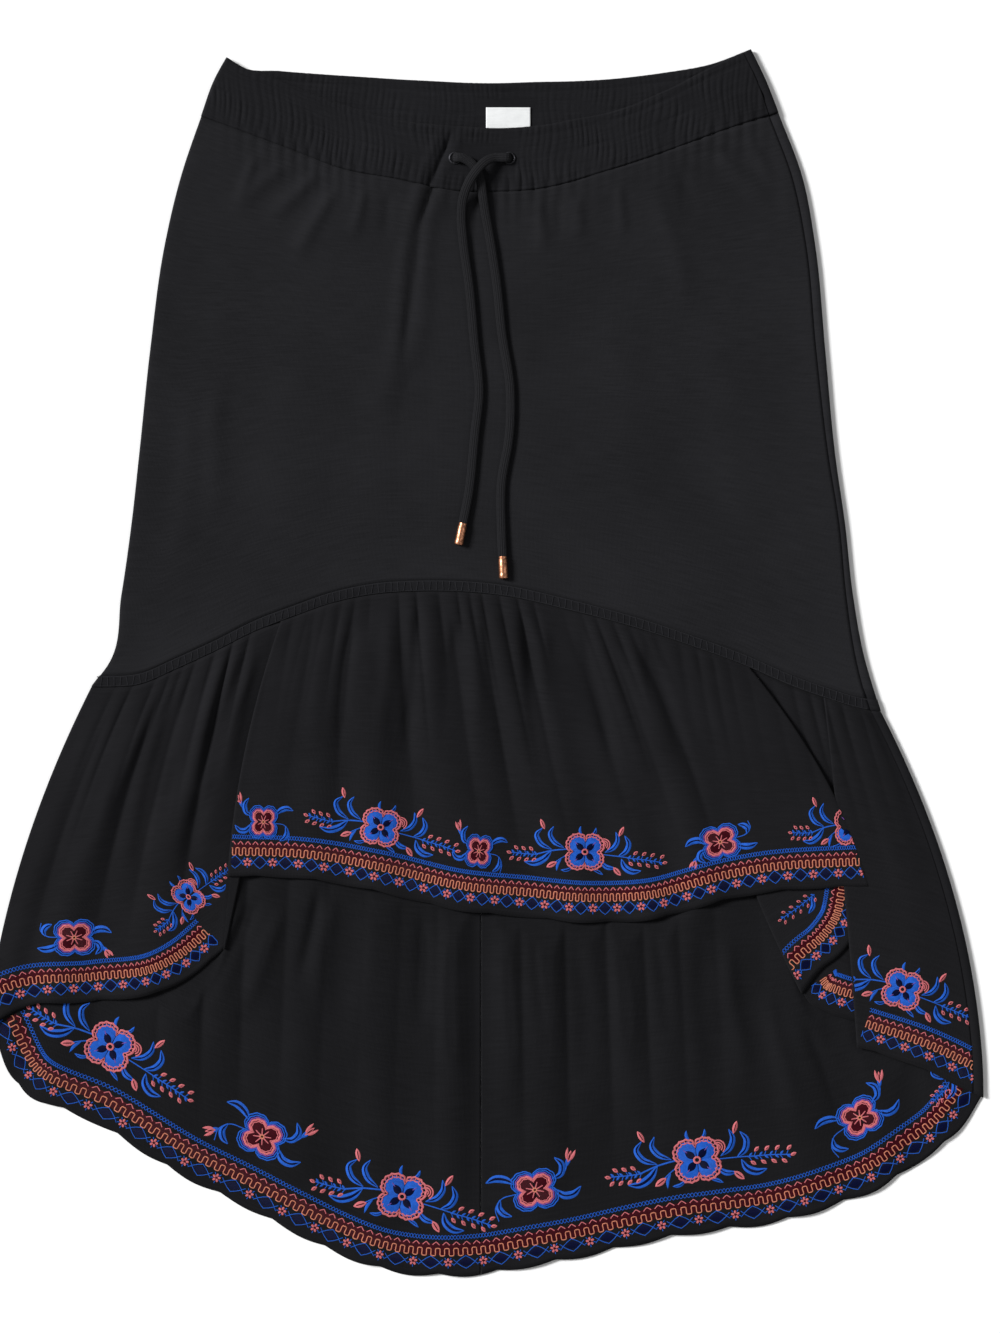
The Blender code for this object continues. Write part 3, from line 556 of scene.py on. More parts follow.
class Finish:
    """One material and its nodes."""

    def __init__(self, name):
        self.material = bpy.data.materials.new(name)
        self.material.use_nodes = True
        self.tree = self.material.node_tree
        self.shader = self.tree.nodes["Principled BSDF"]

    def set_input(self, socket, value):
        if isinstance(value, Value):
            self.tree.links.new(value.socket, socket)
        else:
            socket.default_value = value

    def node(self, kind, settings=None, inputs=(), output=0):
        """Add a node: its settings first, then its inputs by place or by name."""
        made = self.tree.nodes.new(kind)
        for name, value in (settings or {}).items():
            setattr(made, name, value)
        pairs = inputs.items() if isinstance(inputs, dict) else enumerate(inputs)
        for place, value in pairs:
            self.set_input(made.inputs[place], value)
        return Value(self, made.outputs[output])

    def places(self, scale=(1, 1, 1)):
        """The piece's own cloth map, stretched."""
        flat = self.node("ShaderNodeUVMap", {"uv_map": "cloth"})
        return self.node("ShaderNodeVectorMath", {"operation": "MULTIPLY"}, (flat, scale))

    def solid_places(self):
        return self.node("ShaderNodeTexCoord", output="Object")

    def part(self, places, name):
        return self.node("ShaderNodeSeparateXYZ", None, (places,), output=name)

    def noise(self, places, scale, detail=2.0, roughness=0.5):
        inputs = {"Vector": places, "Scale": scale, "Detail": detail, "Roughness": roughness}
        return self.node("ShaderNodeTexNoise", None, inputs)

    def blend(self, share, low, high):
        inputs = {0: share, 6: low, 7: high}
        return self.node("ShaderNodeMix", {"data_type": "RGBA"}, inputs, output=2)

    def tones(self, share, colour, dark, light):
        """Blend a colour's darker and lighter tones."""
        return self.blend(share, shade(colour, dark), shade(colour, light))

    def surface(self, colour, roughness, height=None, distance=0.0002, **fixed):
        """Set the shader: what varies is linked, and the rest is set on its own sockets."""
        self.set_input(self.shader.inputs["Base Color"], colour)
        self.set_input(self.shader.inputs["Roughness"], roughness)
        for name, value in fixed.items():
            label = name.replace("_", " ").title().replace("Ior", "IOR")
            self.shader.inputs[label].default_value = value
        if height is not None:
            inputs = {"Height": height, "Strength": 1.0, "Distance": distance}
            bump = self.node("ShaderNodeBump", None, inputs)
            self.set_input(self.shader.inputs["Normal"], bump)
        return self.material


def shade(colour, factor):
    return (*(channel * factor for channel in colour[:3]), 1.0)


def crepe(name, colour):
    """Crepe: fine uneven weave, slubs along the weft, and soft larger variation."""
    finish = Finish(name)
    flat = finish.places()
    u = finish.part(flat, "X")
    v = finish.part(flat, "Y")
    wander = finish.noise(flat, 260.0, 2.0) * 0.0009
    warp = (u + wander).wave(WARP_PITCH)
    weft = (v + wander).wave(WEFT_PITCH)
    grain = finish.noise(flat, 950.0, 3.0, 0.65)
    slub = finish.noise(finish.places((40, 620, 1)), 1.0, 3.0, 0.6)
    patch = finish.noise(flat, 9.0, 3.0)
    height = warp * 0.16 + weft * 0.16 + grain * 0.7 + slub * 0.35
    lightness = slub * 0.45 + grain * 0.3 + patch * 0.35
    tone = finish.tones(lightness.between(0.3, 0.8), colour, 0.72, 1.32)
    rough = 0.82 + grain * 0.12
    fixed = dict(sheen_weight=0.02, sheen_roughness=0.45, specular_ior_level=0.07)
    return finish.surface(tone, rough, height, 0.00022, **fixed)


def thread(name, colour, dark=0.6):
    """Rayon embroidery thread: satin stitches that run across each stroke, with painted sheen on
    their crests.
    """
    finish = Finish(name)
    flat = finish.places()
    u = finish.part(flat, "X")
    jitter = finish.noise(flat, 700.0, 2.0)
    strands = (u + jitter * 0.0002).wave(SATIN_STITCH_PITCH)
    patch = finish.noise(flat, 160.0, 2.0)
    # The stitch wave lightens each strand's crest and darkens the grooves between them: painted
    # sheen and painted shade. The patches are the thread's own uneven tone.
    share = (strands * 0.25 + patch * 0.9 + 0.1).between(0.15, 0.85)
    tone = finish.tones(share, colour, dark, 1.15)
    height = strands * 0.5 + jitter * 0.4
    rough = 0.45 + patch * 0.2
    return finish.surface(tone, rough, height, 0.00016, specular_ior_level=0.07)


def braid(name, colour):
    """Braided tubular cord: slanting strands both ways, with painted highlight and shade on their
    crossings.
    """
    finish = Finish(name)
    flat = finish.places()
    u = finish.part(flat, "X")
    v = finish.part(flat, "Y")
    one = (u + v * 0.9).wave(BRAID_PITCH)
    other = (u - v * 0.9).wave(BRAID_PITCH)
    fuzz = finish.noise(flat, 1300.0, 3.0, 0.7)
    height = one * other * 0.6 + fuzz * 0.5
    # Where the strands cross and rise the colour is lighter, and between them it is darker: painted
    # highlight and painted shade. The fuzz is the cord's own uneven tone.
    share = (one * other * 0.3 + fuzz).between(0.1, 0.95)
    tone = finish.tones(share, colour, 0.6, 1.4)
    return finish.surface(tone, 0.78 + fuzz * 0.14, height, 0.0004, specular_ior_level=0.12)


def satin(name, colour):
    """Woven satin ribbon of the bare label: fine ribs with painted shade along them, and a few
    darker weft threads.
    """
    finish = Finish(name)
    flat = finish.places()
    ribs = finish.part(flat, "Y").wave(RIB_PITCH)
    cloudy = finish.noise(flat, 120.0, 3.0)
    streak = finish.noise(finish.places((60, 1500, 1)), 1.0, 2.0)
    # The ribs lighten the colour on their crests and darken it between them, a painted shade along
    # the ribs. The cloudy tone and the darker weft threads are the ribbon's own.
    share = (ribs * 0.12 + cloudy * 0.5 + streak * 0.5).between(0.2, 0.8)
    tone = finish.tones(share, colour, 0.86, 1.0)
    return finish.surface(tone, 0.42 + cloudy * 0.2, ribs * 0.4 + streak, 0.00012, sheen_weight=0.1)


def copper(name, colour):
    """Brushed copper tip: rings of fine brushing, darker worn patches."""
    finish = Finish(name)
    worn = finish.noise(finish.solid_places(), 420.0, 4.0, 0.65)
    flat = finish.places()
    rings = finish.noise(finish.places((2600, 40, 1)), 1.0, 2.0)
    share = worn.between(0.36, 0.62)
    tone = finish.tones(share, colour, 0.45, 1.1)
    rough = 0.24 + rings * 0.16 + (1 - share) * 0.2
    height = rings * 0.6 + finish.noise(flat, 300.0, 2.0) * 0.4
    return finish.surface(tone, rough, height, 0.00008, metallic=1.0)


def eyelet_metal(name, colour):
    finish = Finish(name)
    worn = finish.noise(finish.solid_places(), 900.0, 3.0, 0.6)
    tone = finish.tones(worn.between(0.35, 0.7), colour, 0.6, 2.4)
    return finish.surface(tone, 0.32 + worn * 0.3, worn, 0.00008, metallic=0.85)


def link(item):
    bpy.context.scene.collection.objects.link(item)
    return item


def dress_mesh(name, mesh, materials):
    """Give a finished mesh its object, smooth faces and materials, on the skirt's body."""
    mesh.shade_smooth()
    item = link(bpy.data.objects.new(name, mesh))
    for material in materials:
        mesh.materials.append(material)
    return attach(item, "root")


def opened(mesh):
    """Open a mesh to edit it. closed() writes it back."""
    bm = bmesh.new()
    bm.from_mesh(mesh)
    return bm


def closed(bm, mesh):
    bm.to_mesh(mesh)
    bm.free()
    return mesh


def plain_grid(name, columns, rows, size):
    bm = bmesh.new()
    bmesh.ops.create_grid(bm, x_segments=columns, y_segments=rows, size=size)
    return closed(bm, bpy.data.meshes.new(name))


def placed_grid(name, grid, flat):
    """Make a grid mesh whose places and cloth map come from arrays of rows and columns."""
    rows, columns = grid.shape[:2]
    mesh = plain_grid(name, columns - 1, rows - 1, 1)
    mesh.vertices.foreach_set("co", (grid[::-1] * MM).ravel())
    corners = np.empty(len(mesh.loops), dtype=int)
    mesh.loops.foreach_get("vertex_index", corners)
    layer = mesh.uv_layers.new(name="cloth")
    layer.data.foreach_set("uv", flat[::-1].reshape(-1, 2)[corners].ravel())
    mesh.update()
    return mesh


def make_cloth(name, grid, wall, material, *nodes):
    """Make a panel of cloth as a thin wall on a grid, in the place of its solids."""
    mesh = placed_grid(name, grid, cloth_map(grid))
    item = dress_mesh(name, mesh, [material])
    thick = item.modifiers.new("wall", "SOLIDIFY")
    thick.thickness = wall * MM
    thick.offset = 0
    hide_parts(*nodes)
    return item


class Ruffle:
    """A gathered ruffle as a surface: a place by the length along the hem and the share down."""

    def __init__(self, rows, yoke, level, shifts, waves, scallop):
        self.rows = rows
        self.scallop = scallop
        self.yoke = yoke
        self.level = level
        self.left_shift, self.right_shift = shifts
        self.waves = waves
        turns = rows.get("turn", np.zeros(len(rows["seam_x"])))
        folds = [index for index, turn in enumerate(turns) if turn]
        ends = [0] + folds + [len(turns) - 1]
        self.runs = []
        travelled = 0.0
        for first, last in zip(ends[:-1], ends[1:]):
            values = {name: rows[name][first:last + 1].copy() for name in rows}
            steps = np.hypot(np.diff(values["hem_x"]), np.diff(values["hem_y"]))
            places = travelled + running_total(steps)
            if "ply" in values:
                values["ply"][0] += rows["rise"][first] / 2
                values["ply"][-1] -= rows["rise"][last] / 2
            run = dict(first=first, last=last, start=travelled, end=places[-1])
            run.update(places=places, values=values, turns=(turns[first], turns[last]))
            self.runs.append(run)
            travelled = places[-1]
        self.length = travelled

    def hem_slope(self, last):
        near, far = (-1, -2) if last else (0, 1)
        rows = self.rows
        rise = rows["hem_y"][far] - rows["hem_y"][near]
        return rise / (rows["hem_x"][far] - rows["hem_x"][near])

    def hang(self, row, seam_x, hem_y, down, dip):
        """Place points between a seam and a hem that the scallop's dip draws up."""
        start_y = curve_y(self.yoke, seam_x)
        reach_x = row["hem_x"] - row["seam_x"]
        reach_y = hem_y - start_y
        trim = 1 - dip / np.hypot(reach_x, reach_y) * ease((down - SCALLOPS_FROM) / SCALLOPS_SHARE)
        x = seam_x + reach_x * down * trim + 4 * row["bow"] * down * (1 - down)
        return x, start_y + reach_y * down * trim

    def spread(self, read, s, down, bend):
        """Place points in plan from what the table reads there."""
        left = self.left_shift * np.clip(1 - s / EDGE_REACH, 0, 1)
        right = self.right_shift * np.clip(1 - (self.length - s) / EDGE_REACH, 0, 1)
        seam_x = read["seam_x"] + bend * PLY_PITCH / 2 + left + right
        hem_y = read["hem_y"] + self.hem_slope(False) * left + self.hem_slope(True) * right
        scallops = round(self.length / SCALLOP_PITCH)
        dip = self.scallop * (1 - np.abs(np.sin(math.pi * scallops * s / self.length)))
        return *self.hang(read, seam_x, hem_y, down, dip), seam_x

    def place(self, run, s, down):
        """Give points of the middle surface."""
        s = np.clip(s, run["start"], run["end"])
        values = run["values"]
        read = {name: along(run["places"], values[name], s) for name in values}
        share = (s - run["start"]) / (run["end"] - run["start"])
        bend = -run["turns"][0] * (1 - share) - run["turns"][1] * share
        x, y, seam_x = self.spread(read, s, down, bend)
        calm = np.clip(read.get("calm", 0), 0, 1)
        z = self.level + self.waves(x, y, seam_x, s, down) * (1 - calm)
        ends = ease(s / RUFFLE_ENDS) * ease((self.length - s) / RUFFLE_ENDS)
        z = z + calm * self.shared(x, y) * ends
        if "ply" in read:
            z = z + read["ply"] * PLY_PITCH
        return np.stack((x, y, z), axis=-1)

    def shared(self, x, y):
        """Folds that stacked layers share near the seam, by their place in plan alone."""
        below = np.maximum(curve_y(self.yoke, x) - y, 0)
        lean = np.clip(x / 330, -1, 1) * 0.3
        u = x - lean * below
        folds = (np.sin(math.pi * (u + 4 * np.sin(u / 16)) / 17) ** 2 + 0.01) ** 0.38
        strength = 0.65 + 0.35 * np.sin(u / 23 + 0.8)
        return 2.1 * folds * strength * ease(below / 6) * np.exp(-(below / 80) ** 2)

    def grid(self, downs, step):
        """Lay the whole ruffle, with its folds, as a grid."""
        down = downs[:, None]
        columns = []
        for run in self.runs:
            width = run["values"]["seam_x"][-1] - run["values"]["seam_x"][0]
            count = math.ceil(max(run["end"] - run["start"], abs(width)) / step)
            s = np.linspace(run["start"], run["end"], count + 1)[None, :]
            columns.append(self.place(run, s, down))
            turn = run["turns"][1]
            if turn:
                read = {name: self.rows[name][run["last"]] for name in self.rows}
                for angle in FOLD_ANGLES:
                    bend = -turn * (1 - math.cos(angle))
                    x, y, _ = self.spread(read, run["end"], down, bend)
                    ply = read["ply"] + read["rise"] / 2 * math.sin(angle)
                    z = self.level + ply * PLY_PITCH + self.shared(x, y)
                    columns.append(np.stack((x, y, z), axis=-1))
        return np.concatenate(columns, axis=1)

    def edge_column(self, last, shift, z, downs):
        """Lay one column beside the ruffle's first or last row, moved in x by a shift."""
        row = {name: self.rows[name][-1 if last else 0] for name in self.rows}
        hem_y = row["hem_y"] + self.hem_slope(last) * shift
        x, y = self.hang(row, row["seam_x"] + shift, hem_y, downs, self.scallop)
        return np.stack((x, y, np.full(len(downs), z)), axis=-1)

    def drape(self, run, plan):
        """Find the height of a run's surface over places in plan, and which lie on it."""
        # Steps along the hem in mm and down in shares, and how near a place has to come
        reach, tilt, near = 0.4, 0.002, 0.6
        s_keys = np.linspace(run["start"], run["end"], 60)
        down_keys = np.linspace(0.3, 1, 24)
        s_grid, down_grid = (part.ravel() for part in np.meshgrid(s_keys, down_keys))
        known = self.place(run, s_grid, down_grid)[:, :2]
        nearest = np.concatenate([
            np.argmin(((block[:, None] - known[None]) ** 2).sum(axis=-1), axis=1)
            for block in np.array_split(plan, max(1, len(plan) // 2000))
        ])
        s = s_grid[nearest]
        down = down_grid[nearest]
        for _ in range(5):
            here = self.place(run, s, down)[:, :2]
            miss = plan - here
            s_low = np.clip(s - reach, run["start"], run["end"])
            s_high = np.clip(s + reach, run["start"], run["end"])
            by_s = self.place(run, s_high, down)[:, :2] - self.place(run, s_low, down)[:, :2]
            by_s = by_s / (s_high - s_low)[:, None]
            by_down = self.place(run, s, down + tilt) - self.place(run, s, down - tilt)
            by_down = by_down[:, :2] / (2 * tilt)
            scale = by_s[:, 0] * by_down[:, 1] - by_s[:, 1] * by_down[:, 0]
            scale = np.where(np.abs(scale) < 1e-3, 1e-3, scale)
            s = s + (miss[:, 0] * by_down[:, 1] - miss[:, 1] * by_down[:, 0]) / scale
            s = np.clip(s, run["start"], run["end"])
            down = down + (by_s[:, 0] * miss[:, 1] - by_s[:, 1] * miss[:, 0]) / scale
            down = np.clip(down, 0.05, 1.02)
        found = self.place(run, s, down)
        return found[:, 2], np.hypot(*(plan - found[:, :2]).T) < near

    def hem_line(self, run, s, t):
        """Give places in plan at a distance t inside the hem."""
        values = run["values"]

        def hem(at):
            x = along(run["places"], values["hem_x"], at)
            return np.stack((x, along(run["places"], values["hem_y"], at)), axis=-1)

        low = np.clip(s - 12, run["start"], run["end"])
        high = np.clip(s + 12, run["start"], run["end"])
        way = hem(high) - hem(low)
        way = way / np.linalg.norm(way, axis=-1, keepdims=True)
        inward = np.stack((-way[:, 1], way[:, 0]), axis=-1)
        seam = along(run["places"], values["seam_x"], s)
        toward = np.stack((seam, curve_y(self.yoke, seam)), axis=-1) - hem(s)
        inward = inward * np.sign((inward * toward).sum(axis=-1))[:, None]
        return hem(s) + inward * np.asarray(t)[:, None]


def front_waves(x, y, seam_x, s, down):
    """Gathers of the front ruffle: narrow at the seam, wide and soft towards the hem."""
    u = seam_x + 5.5 * np.sin(seam_x / 21 + 0.4) + 2.6 * np.sin(seam_x / 8.3 + 1.9)
    narrow = (np.sin(math.pi * u / 16) ** 2 + 0.003) ** 0.32
    middle = (np.sin(math.pi * u / 36 + 0.5) ** 2 + 0.006) ** 0.4
    wide = 0.5 + 0.5 * np.sin(2 * math.pi * s / 74 + 1.6 * np.sin(s / 57) + 0.8)
    strength = 0.6 + 0.4 * np.sin(seam_x / 19 + 0.9) * np.sin(seam_x / 47 + 0.4)
    reach = 0.34 + 0.26 * np.sin(seam_x / 13 + 0.6)
    near = (0.5 + 0.5 * ease(down / 0.08)) * (1 - ease((down - 0.06) / reach))
    halfway = ease((down - 0.02) / 0.2) * (1 - ease((down - 0.4) / 0.5))
    far = ease((down - 0.2) / 0.5)
    height = 4.6 * narrow * strength * near + 3.8 * middle * halfway + 3.4 * wide * far
    return np.maximum(height + creases(RUFFLE_CREASES, x, y), -0.5)


def back_waves(x, y, seam_x, s, down):
    """Soft folds inside the back ruffle, calm towards the hem and at the centre seam."""
    u = seam_x + 4.0 * np.sin(seam_x / 33 + 2.0)
    middle = (np.sin(math.pi * u / 33 + 0.3) ** 2 + 0.006) ** 0.4
    wide = 0.5 + 0.5 * np.sin(2 * math.pi * s / 96 + 1.9 * np.sin(s / 71))
    strength = 0.6 + 0.4 * np.sin(seam_x / 53 + 0.2)
    fall = 1 - ease((down - 0.5) / 0.42)
    height = 4.4 * middle * strength * fall + 2.6 * wide * (1 - 0.5 * ease((down - 0.8) / 0.2))
    calm = 1 - 0.8 * np.exp(-((x - CENTRE_BACK_X) / 14) ** 2)
    raised = np.maximum(height * calm + creases(BACK_CREASES, x, y) + 0.3, 0)
    shown = ease((curve_y(FRONT_HEM, x) - y + 6) / 40)
    raised = np.minimum(raised, 1.5 + 4.5 * shown)
    return raised * ease(s / RUFFLE_ENDS)


def strand_route(strand):
    """Give a strand's middle line: up out of its eyelet, then lying on the cloth to its tip."""
    places = running_total(np.hypot(np.diff(strand["x"]), np.diff(strand["y"])))
    count = round(places[-1] / CORD_POINT_SPACING)
    at = np.linspace(places[1], places[-1], count)
    at = np.sort(np.concatenate((at, (places[1] + 3.0, places[1] + 7.0))))
    x = along(places, strand["x"], at)
    y = along(places, strand["y"], at)
    on_band = y > curve_y(FRONT_WAIST, x) - 2 * CORD_RADIUS
    band_top = BAND_FRONT_LEVEL + BAND_WALL / 2 + BAND_GATHER_HEIGHT
    top = np.where(on_band, band_top, body_level(x, y) + CLOTH / 2)
    z = top + GAP + CORD_RADIUS + along(places, strand["lift"], at)
    z[1:-1] = np.maximum(z[1:-1], (z[:-2] + z[2:]) / 2)
    placket_top = BAND_FRONT_LEVEL + BAND_WALL / 2
    hole_x = strand["x"][0]
    hole_y = strand["y"][0]
    rise = z[0] - placket_top
    toward = np.sign(x[0] - hole_x)
    start = [
        (hole_x, hole_y, placket_top + GAP),
        (hole_x, hole_y, placket_top + 0.45 * rise),
        (hole_x + toward * 1.4, hole_y, placket_top + 0.82 * rise),
    ]
    return np.concatenate((start, np.stack((x, y, z), axis=-1)))


def fine_route(route, step):
    """Resample a route evenly on one smooth curve."""
    places = running_total(np.linalg.norm(np.diff(route, axis=0), axis=1))
    at = np.linspace(0, places[-1], math.ceil(places[-1] / step) + 1)
    return np.stack([along(places, route[:, axis], at) for axis in range(3)], axis=-1)


def revolve(name, section, steps, material, places):
    """Turn a section about its own axis, then set it at each of the places given."""
    bm = bmesh.new()
    corners = [bm.verts.new(Vector((radius, 0, height)) * MM) for radius, height in section]
    edges = [bm.edges.new((a, b)) for a, b in zip(corners, corners[1:])]
    bmesh.ops.spin(
        bm,
        geom=corners + edges,
        cent=(0, 0, 0),
        axis=(0, 0, 1),
        angle=2 * math.pi,
        steps=steps,
        use_merge=True,
    )
    bmesh.ops.remove_doubles(bm, verts=bm.verts, dist=0.002 * MM)
    bmesh.ops.recalc_face_normals(bm, faces=bm.faces)
    layer = bm.loops.layers.uv.new("cloth")
    for face in bm.faces:
        for corner in face.loops:
            turn = math.atan2(corner.vert.co.y, corner.vert.co.x) * section[1][0] * MM
            corner[layer].uv = (corner.vert.co.z, turn)
    mesh = closed(bm, bpy.data.meshes.new(name))
    mesh.transform(places)
    item = dress_mesh(name, mesh, [material])
    mesh.set_sharp_from_angle(angle=SHARP_EDGE)
    return item


class Stitches:
    """Raised strokes of thread for one panel, laid on its upper face.

    Each stroke is a line of places in plan with a half width at each, a lift over the cloth
    and a thickness, and every point of its section follows the cloth.
    """

    FLAT_SECTION = (-1.0, -0.62, 0.0, 0.62, 1.0)
    FLAT_RISE = (-0.4, 0.85, 1.0, 0.85, -0.4)
    ROUND_SECTION = (-1.0, 0.0, 1.0)
    ROUND_RISE = (-0.3, 1.0, -0.3)

    def __init__(self, surface, colours):
        self.surface = surface
        self.colours = colours
        self.strokes = []

    def lay(self, colour, line, half, lift=0.1, rise=0.35, run=0):
        line = np.asarray(line, dtype=float)
        half = np.broadcast_to(np.asarray(half, dtype=float), (len(line),))
        self.strokes.append((self.colours.index(colour), line, half, lift, rise, run))

    def build(self, name, wide, materials):
        """Make one mesh of all fine strokes, or of all wide ones."""
        section = np.array(self.FLAT_SECTION if wide else self.ROUND_SECTION)
        profile = np.array(self.FLAT_RISE if wide else self.ROUND_RISE)
        chosen = [stroke for stroke in self.strokes if (stroke[2].max() > WIDE_STROKE) == wide]
        plans, lifts, flats, colours, breaks, runs = [], [], [], [], [], []
        for colour, line, half, lift, rise, run in chosen:
            way = np.gradient(line, axis=0)
            way = way / np.maximum(np.linalg.norm(way, axis=1, keepdims=True), 1e-9)
            side = np.stack((way[:, 1], -way[:, 0]), axis=-1)
            plans.append(line[:, None] + side[:, None] * (half[:, None] * section)[..., None])
            slim = np.clip(half / half.max(), 0.35, 1)[:, None]
            lifts.append(np.broadcast_to(lift, (len(line),))[:, None] + rise * profile * slim)
            steps = np.linalg.norm(np.diff(line, axis=0), axis=1)
            travelled = running_total(steps)[:, None]
            flats.append(np.stack(np.broadcast_arrays(travelled, half[:, None] * section), -1))
            colours.append(np.full(len(line), colour))
            breaks.append(np.arange(len(line)) == len(line) - 1)
            runs.append(np.full(len(line), run))
        plan = np.concatenate(plans)
        colour = np.concatenate(colours)
        run = np.concatenate(runs)
        shape = plan.shape[:2]
        z = np.zeros(shape)
        kept = np.zeros(shape, dtype=bool)
        for index in np.unique(run):
            rows = run == index
            level, inside = self.surface(int(index), plan[rows].reshape(-1, 2))
            z[rows] = level.reshape(-1, shape[1])
            kept[rows] = inside.reshape(-1, shape[1])
        z = z + np.concatenate(lifts)
        grid = np.concatenate((plan, z[..., None]), axis=-1)
        flat = np.concatenate(flats) * MM
        mesh = placed_grid(name, grid, flat)
        start = len(grid) - 2 - np.arange(len(mesh.polygons)) // (shape[1] - 1)
        loose = np.concatenate(breaks)
        whole = kept.all(axis=1)
        gone = loose[start] | ~whole[start] | ~whole[start + 1]
        mesh.polygons.foreach_set("material_index", colour[start])
        bm = opened(mesh)
        bm.faces.ensure_lookup_table()
        dropped = [bm.faces[index] for index in np.flatnonzero(gone)]
        bmesh.ops.delete(bm, geom=dropped, context="FACES")
        return dress_mesh(name, closed(bm, mesh), materials)


def smooth_line(points, step=1.8):
    """Draw one smooth curve through a few points."""
    points = np.asarray(points, dtype=float)
    places = running_total(np.hypot(*np.diff(points, axis=0).T))
    at = np.linspace(0, places[-1], max(4, math.ceil(places[-1] / step)) + 1)
    return np.stack((along(places, points[:, 0], at), along(places, points[:, 1], at)), axis=-1)


def bearing(turn):
    return np.array((math.cos(turn), math.sin(turn)))


def lens(count, half, full=0.7):
    """Half widths of a stroke that swells and closes again."""
    return half * np.maximum(np.sin(np.linspace(0, math.pi, count)) ** full, 0.1)


# How much wider than its sprays a flower is
BIG_WIDTH = 1.06
SMALL_WIDTH = 1.14


class Motif:
    """A motif in its own places: +X along the hem and +Y away from it, in mm."""

    def __init__(self, stitches, run, centre, angle, scale, squash=1.0, mirror=(1, 1)):
        self.stitches = stitches
        self.run = run
        self.centre = np.array(centre, dtype=float)
        self.scale = scale
        self.squash = squash
        self.mirror = np.array(mirror)
        self.across = bearing(angle)
        self.away = np.array((-math.sin(angle), math.cos(angle)))

    def lay(self, colour, line, half, lift=0.1, rise=0.3):
        line = np.asarray(line) * self.scale * self.mirror
        plan = self.centre + line[:, :1] * self.squash * self.across + line[:, 1:] * self.away
        slim = self.scale * (0.5 + 0.5 * self.squash)
        self.stitches.lay(colour, plan, np.asarray(half) * slim, lift, rise, self.run)

    def stem(self, points, half=0.42):
        self.lay("royal_blue", smooth_line(points), half, 0.12, 0.25)

    def leaf(self, colour, points, half, lift=0.14, vein=None):
        line = smooth_line(points)
        self.lay(colour, line, lens(len(line), half), lift, 0.4)
        if vein:
            inner = line[1:-1]
            self.lay(vein, inner, lens(len(inner), half * 0.42), lift + 0.3, 0.2)

    def veined_leaf(self, points, half):
        self.leaf("royal_blue", points, half, 0.14, "navy")

    def petal(self, colour, turn, start, end, half, lift=0.15, rise=0.4):
        line = np.linspace(start, end, 9)[:, None] * bearing(turn)
        shares = np.linspace(0, 1, 9)
        width = half * np.sin(math.pi * np.clip(shares, 0.03, 0.96) ** 1.35) ** 0.6
        self.lay(colour, line, width, lift, rise)

    def ring(self, colour, radius, half, lift=0.5, rise=0.3, middle=(0, 0), around=None):
        turns = np.linspace(0, 2 * math.pi, 73) if around is None else around
        reach = radius(turns) if callable(radius) else np.full(len(turns), radius)
        line = np.stack((np.cos(turns), np.sin(turns)), axis=-1) * reach[:, None]
        self.lay(colour, line + np.array(middle), half, lift, rise)

    def bud(self, base, tip, half=1.9):
        """A closed bud: coral sides round a darker middle."""
        self.leaf("coral", (base, tip), half, 0.16, "burgundy")

    def berry(self, middle, toward, size=2.5):
        way = np.array(toward, dtype=float)
        way = way / np.linalg.norm(way) * size
        middle = np.array(middle, dtype=float)
        self.leaf("coral", (middle - way, middle + way), size * 0.58, 0.16, "burgundy")


QUARTERS = tuple(math.radians(45 + 90 * index) for index in range(4))


def big_flower(motif):
    """Four-lobed blue flower with dark hearts, a lace-like coral edge and a ringed centre."""

    def edge(turns):
        lobes = 0.68 + 0.32 * np.abs(np.sin(2 * turns)) ** 0.6
        return 18.4 * lobes + 0.5 * np.cos(26 * turns)

    motif.squash *= BIG_WIDTH
    for turn in QUARTERS:
        motif.petal("royal_blue", turn, 1.5, 16.4, 8.4, 0.12, 0.5)
    for turn in QUARTERS:
        motif.petal("navy", turn, 1.2, 10.8, 2.9, 0.5, 0.25)
    motif.ring("coral", edge, 0.75, 0.5)
    motif.ring("coral", lambda turns: edge(turns) - 2.7, 0.42, 0.55)
    for index in range(36):
        turn = 2 * math.pi * (index + 0.5) / 36
        reach = float(edge(np.array(turn)))
        inner = 3.6 if math.sin(turn) < 0.1 else 2.4
        line = np.linspace(reach - inner, reach - 0.4, 3)[:, None] * bearing(turn)
        motif.lay("coral", line, 0.36, 0.45, 0.25)
    for shift in (0.0, 2.2, 4.2):
        arc = np.linspace(-0.9, 1.9, 14)
        motif.ring("coral", 5.2 - shift * 0.8, 0.5, 0.35, 0.3, (15.8, 7.0), arc)
    for turn in QUARTERS:
        line = np.linspace(9.0, 12.4, 4)[:, None] * bearing(turn)
        motif.lay("lavender", line, 0.3, 0.75, 0.2)
    motif.ring("coral", 2.2, 0.7, 0.8, 0.3, around=np.linspace(0, 2 * math.pi, 17))
    motif.leaf("royal_blue", ((-3, 14.5), (-5, 19), (-4.4, 23)), 1.2)
    motif.veined_leaf(((5, 15.0), (8, 18), (8.6, 22)), 1.3)
    motif.veined_leaf(((-10, -14), (-15, -17), (-20, -17)), 1.4)
    motif.veined_leaf(((7, -15.5), (12, -17.5), (16, -20)), 1.4)


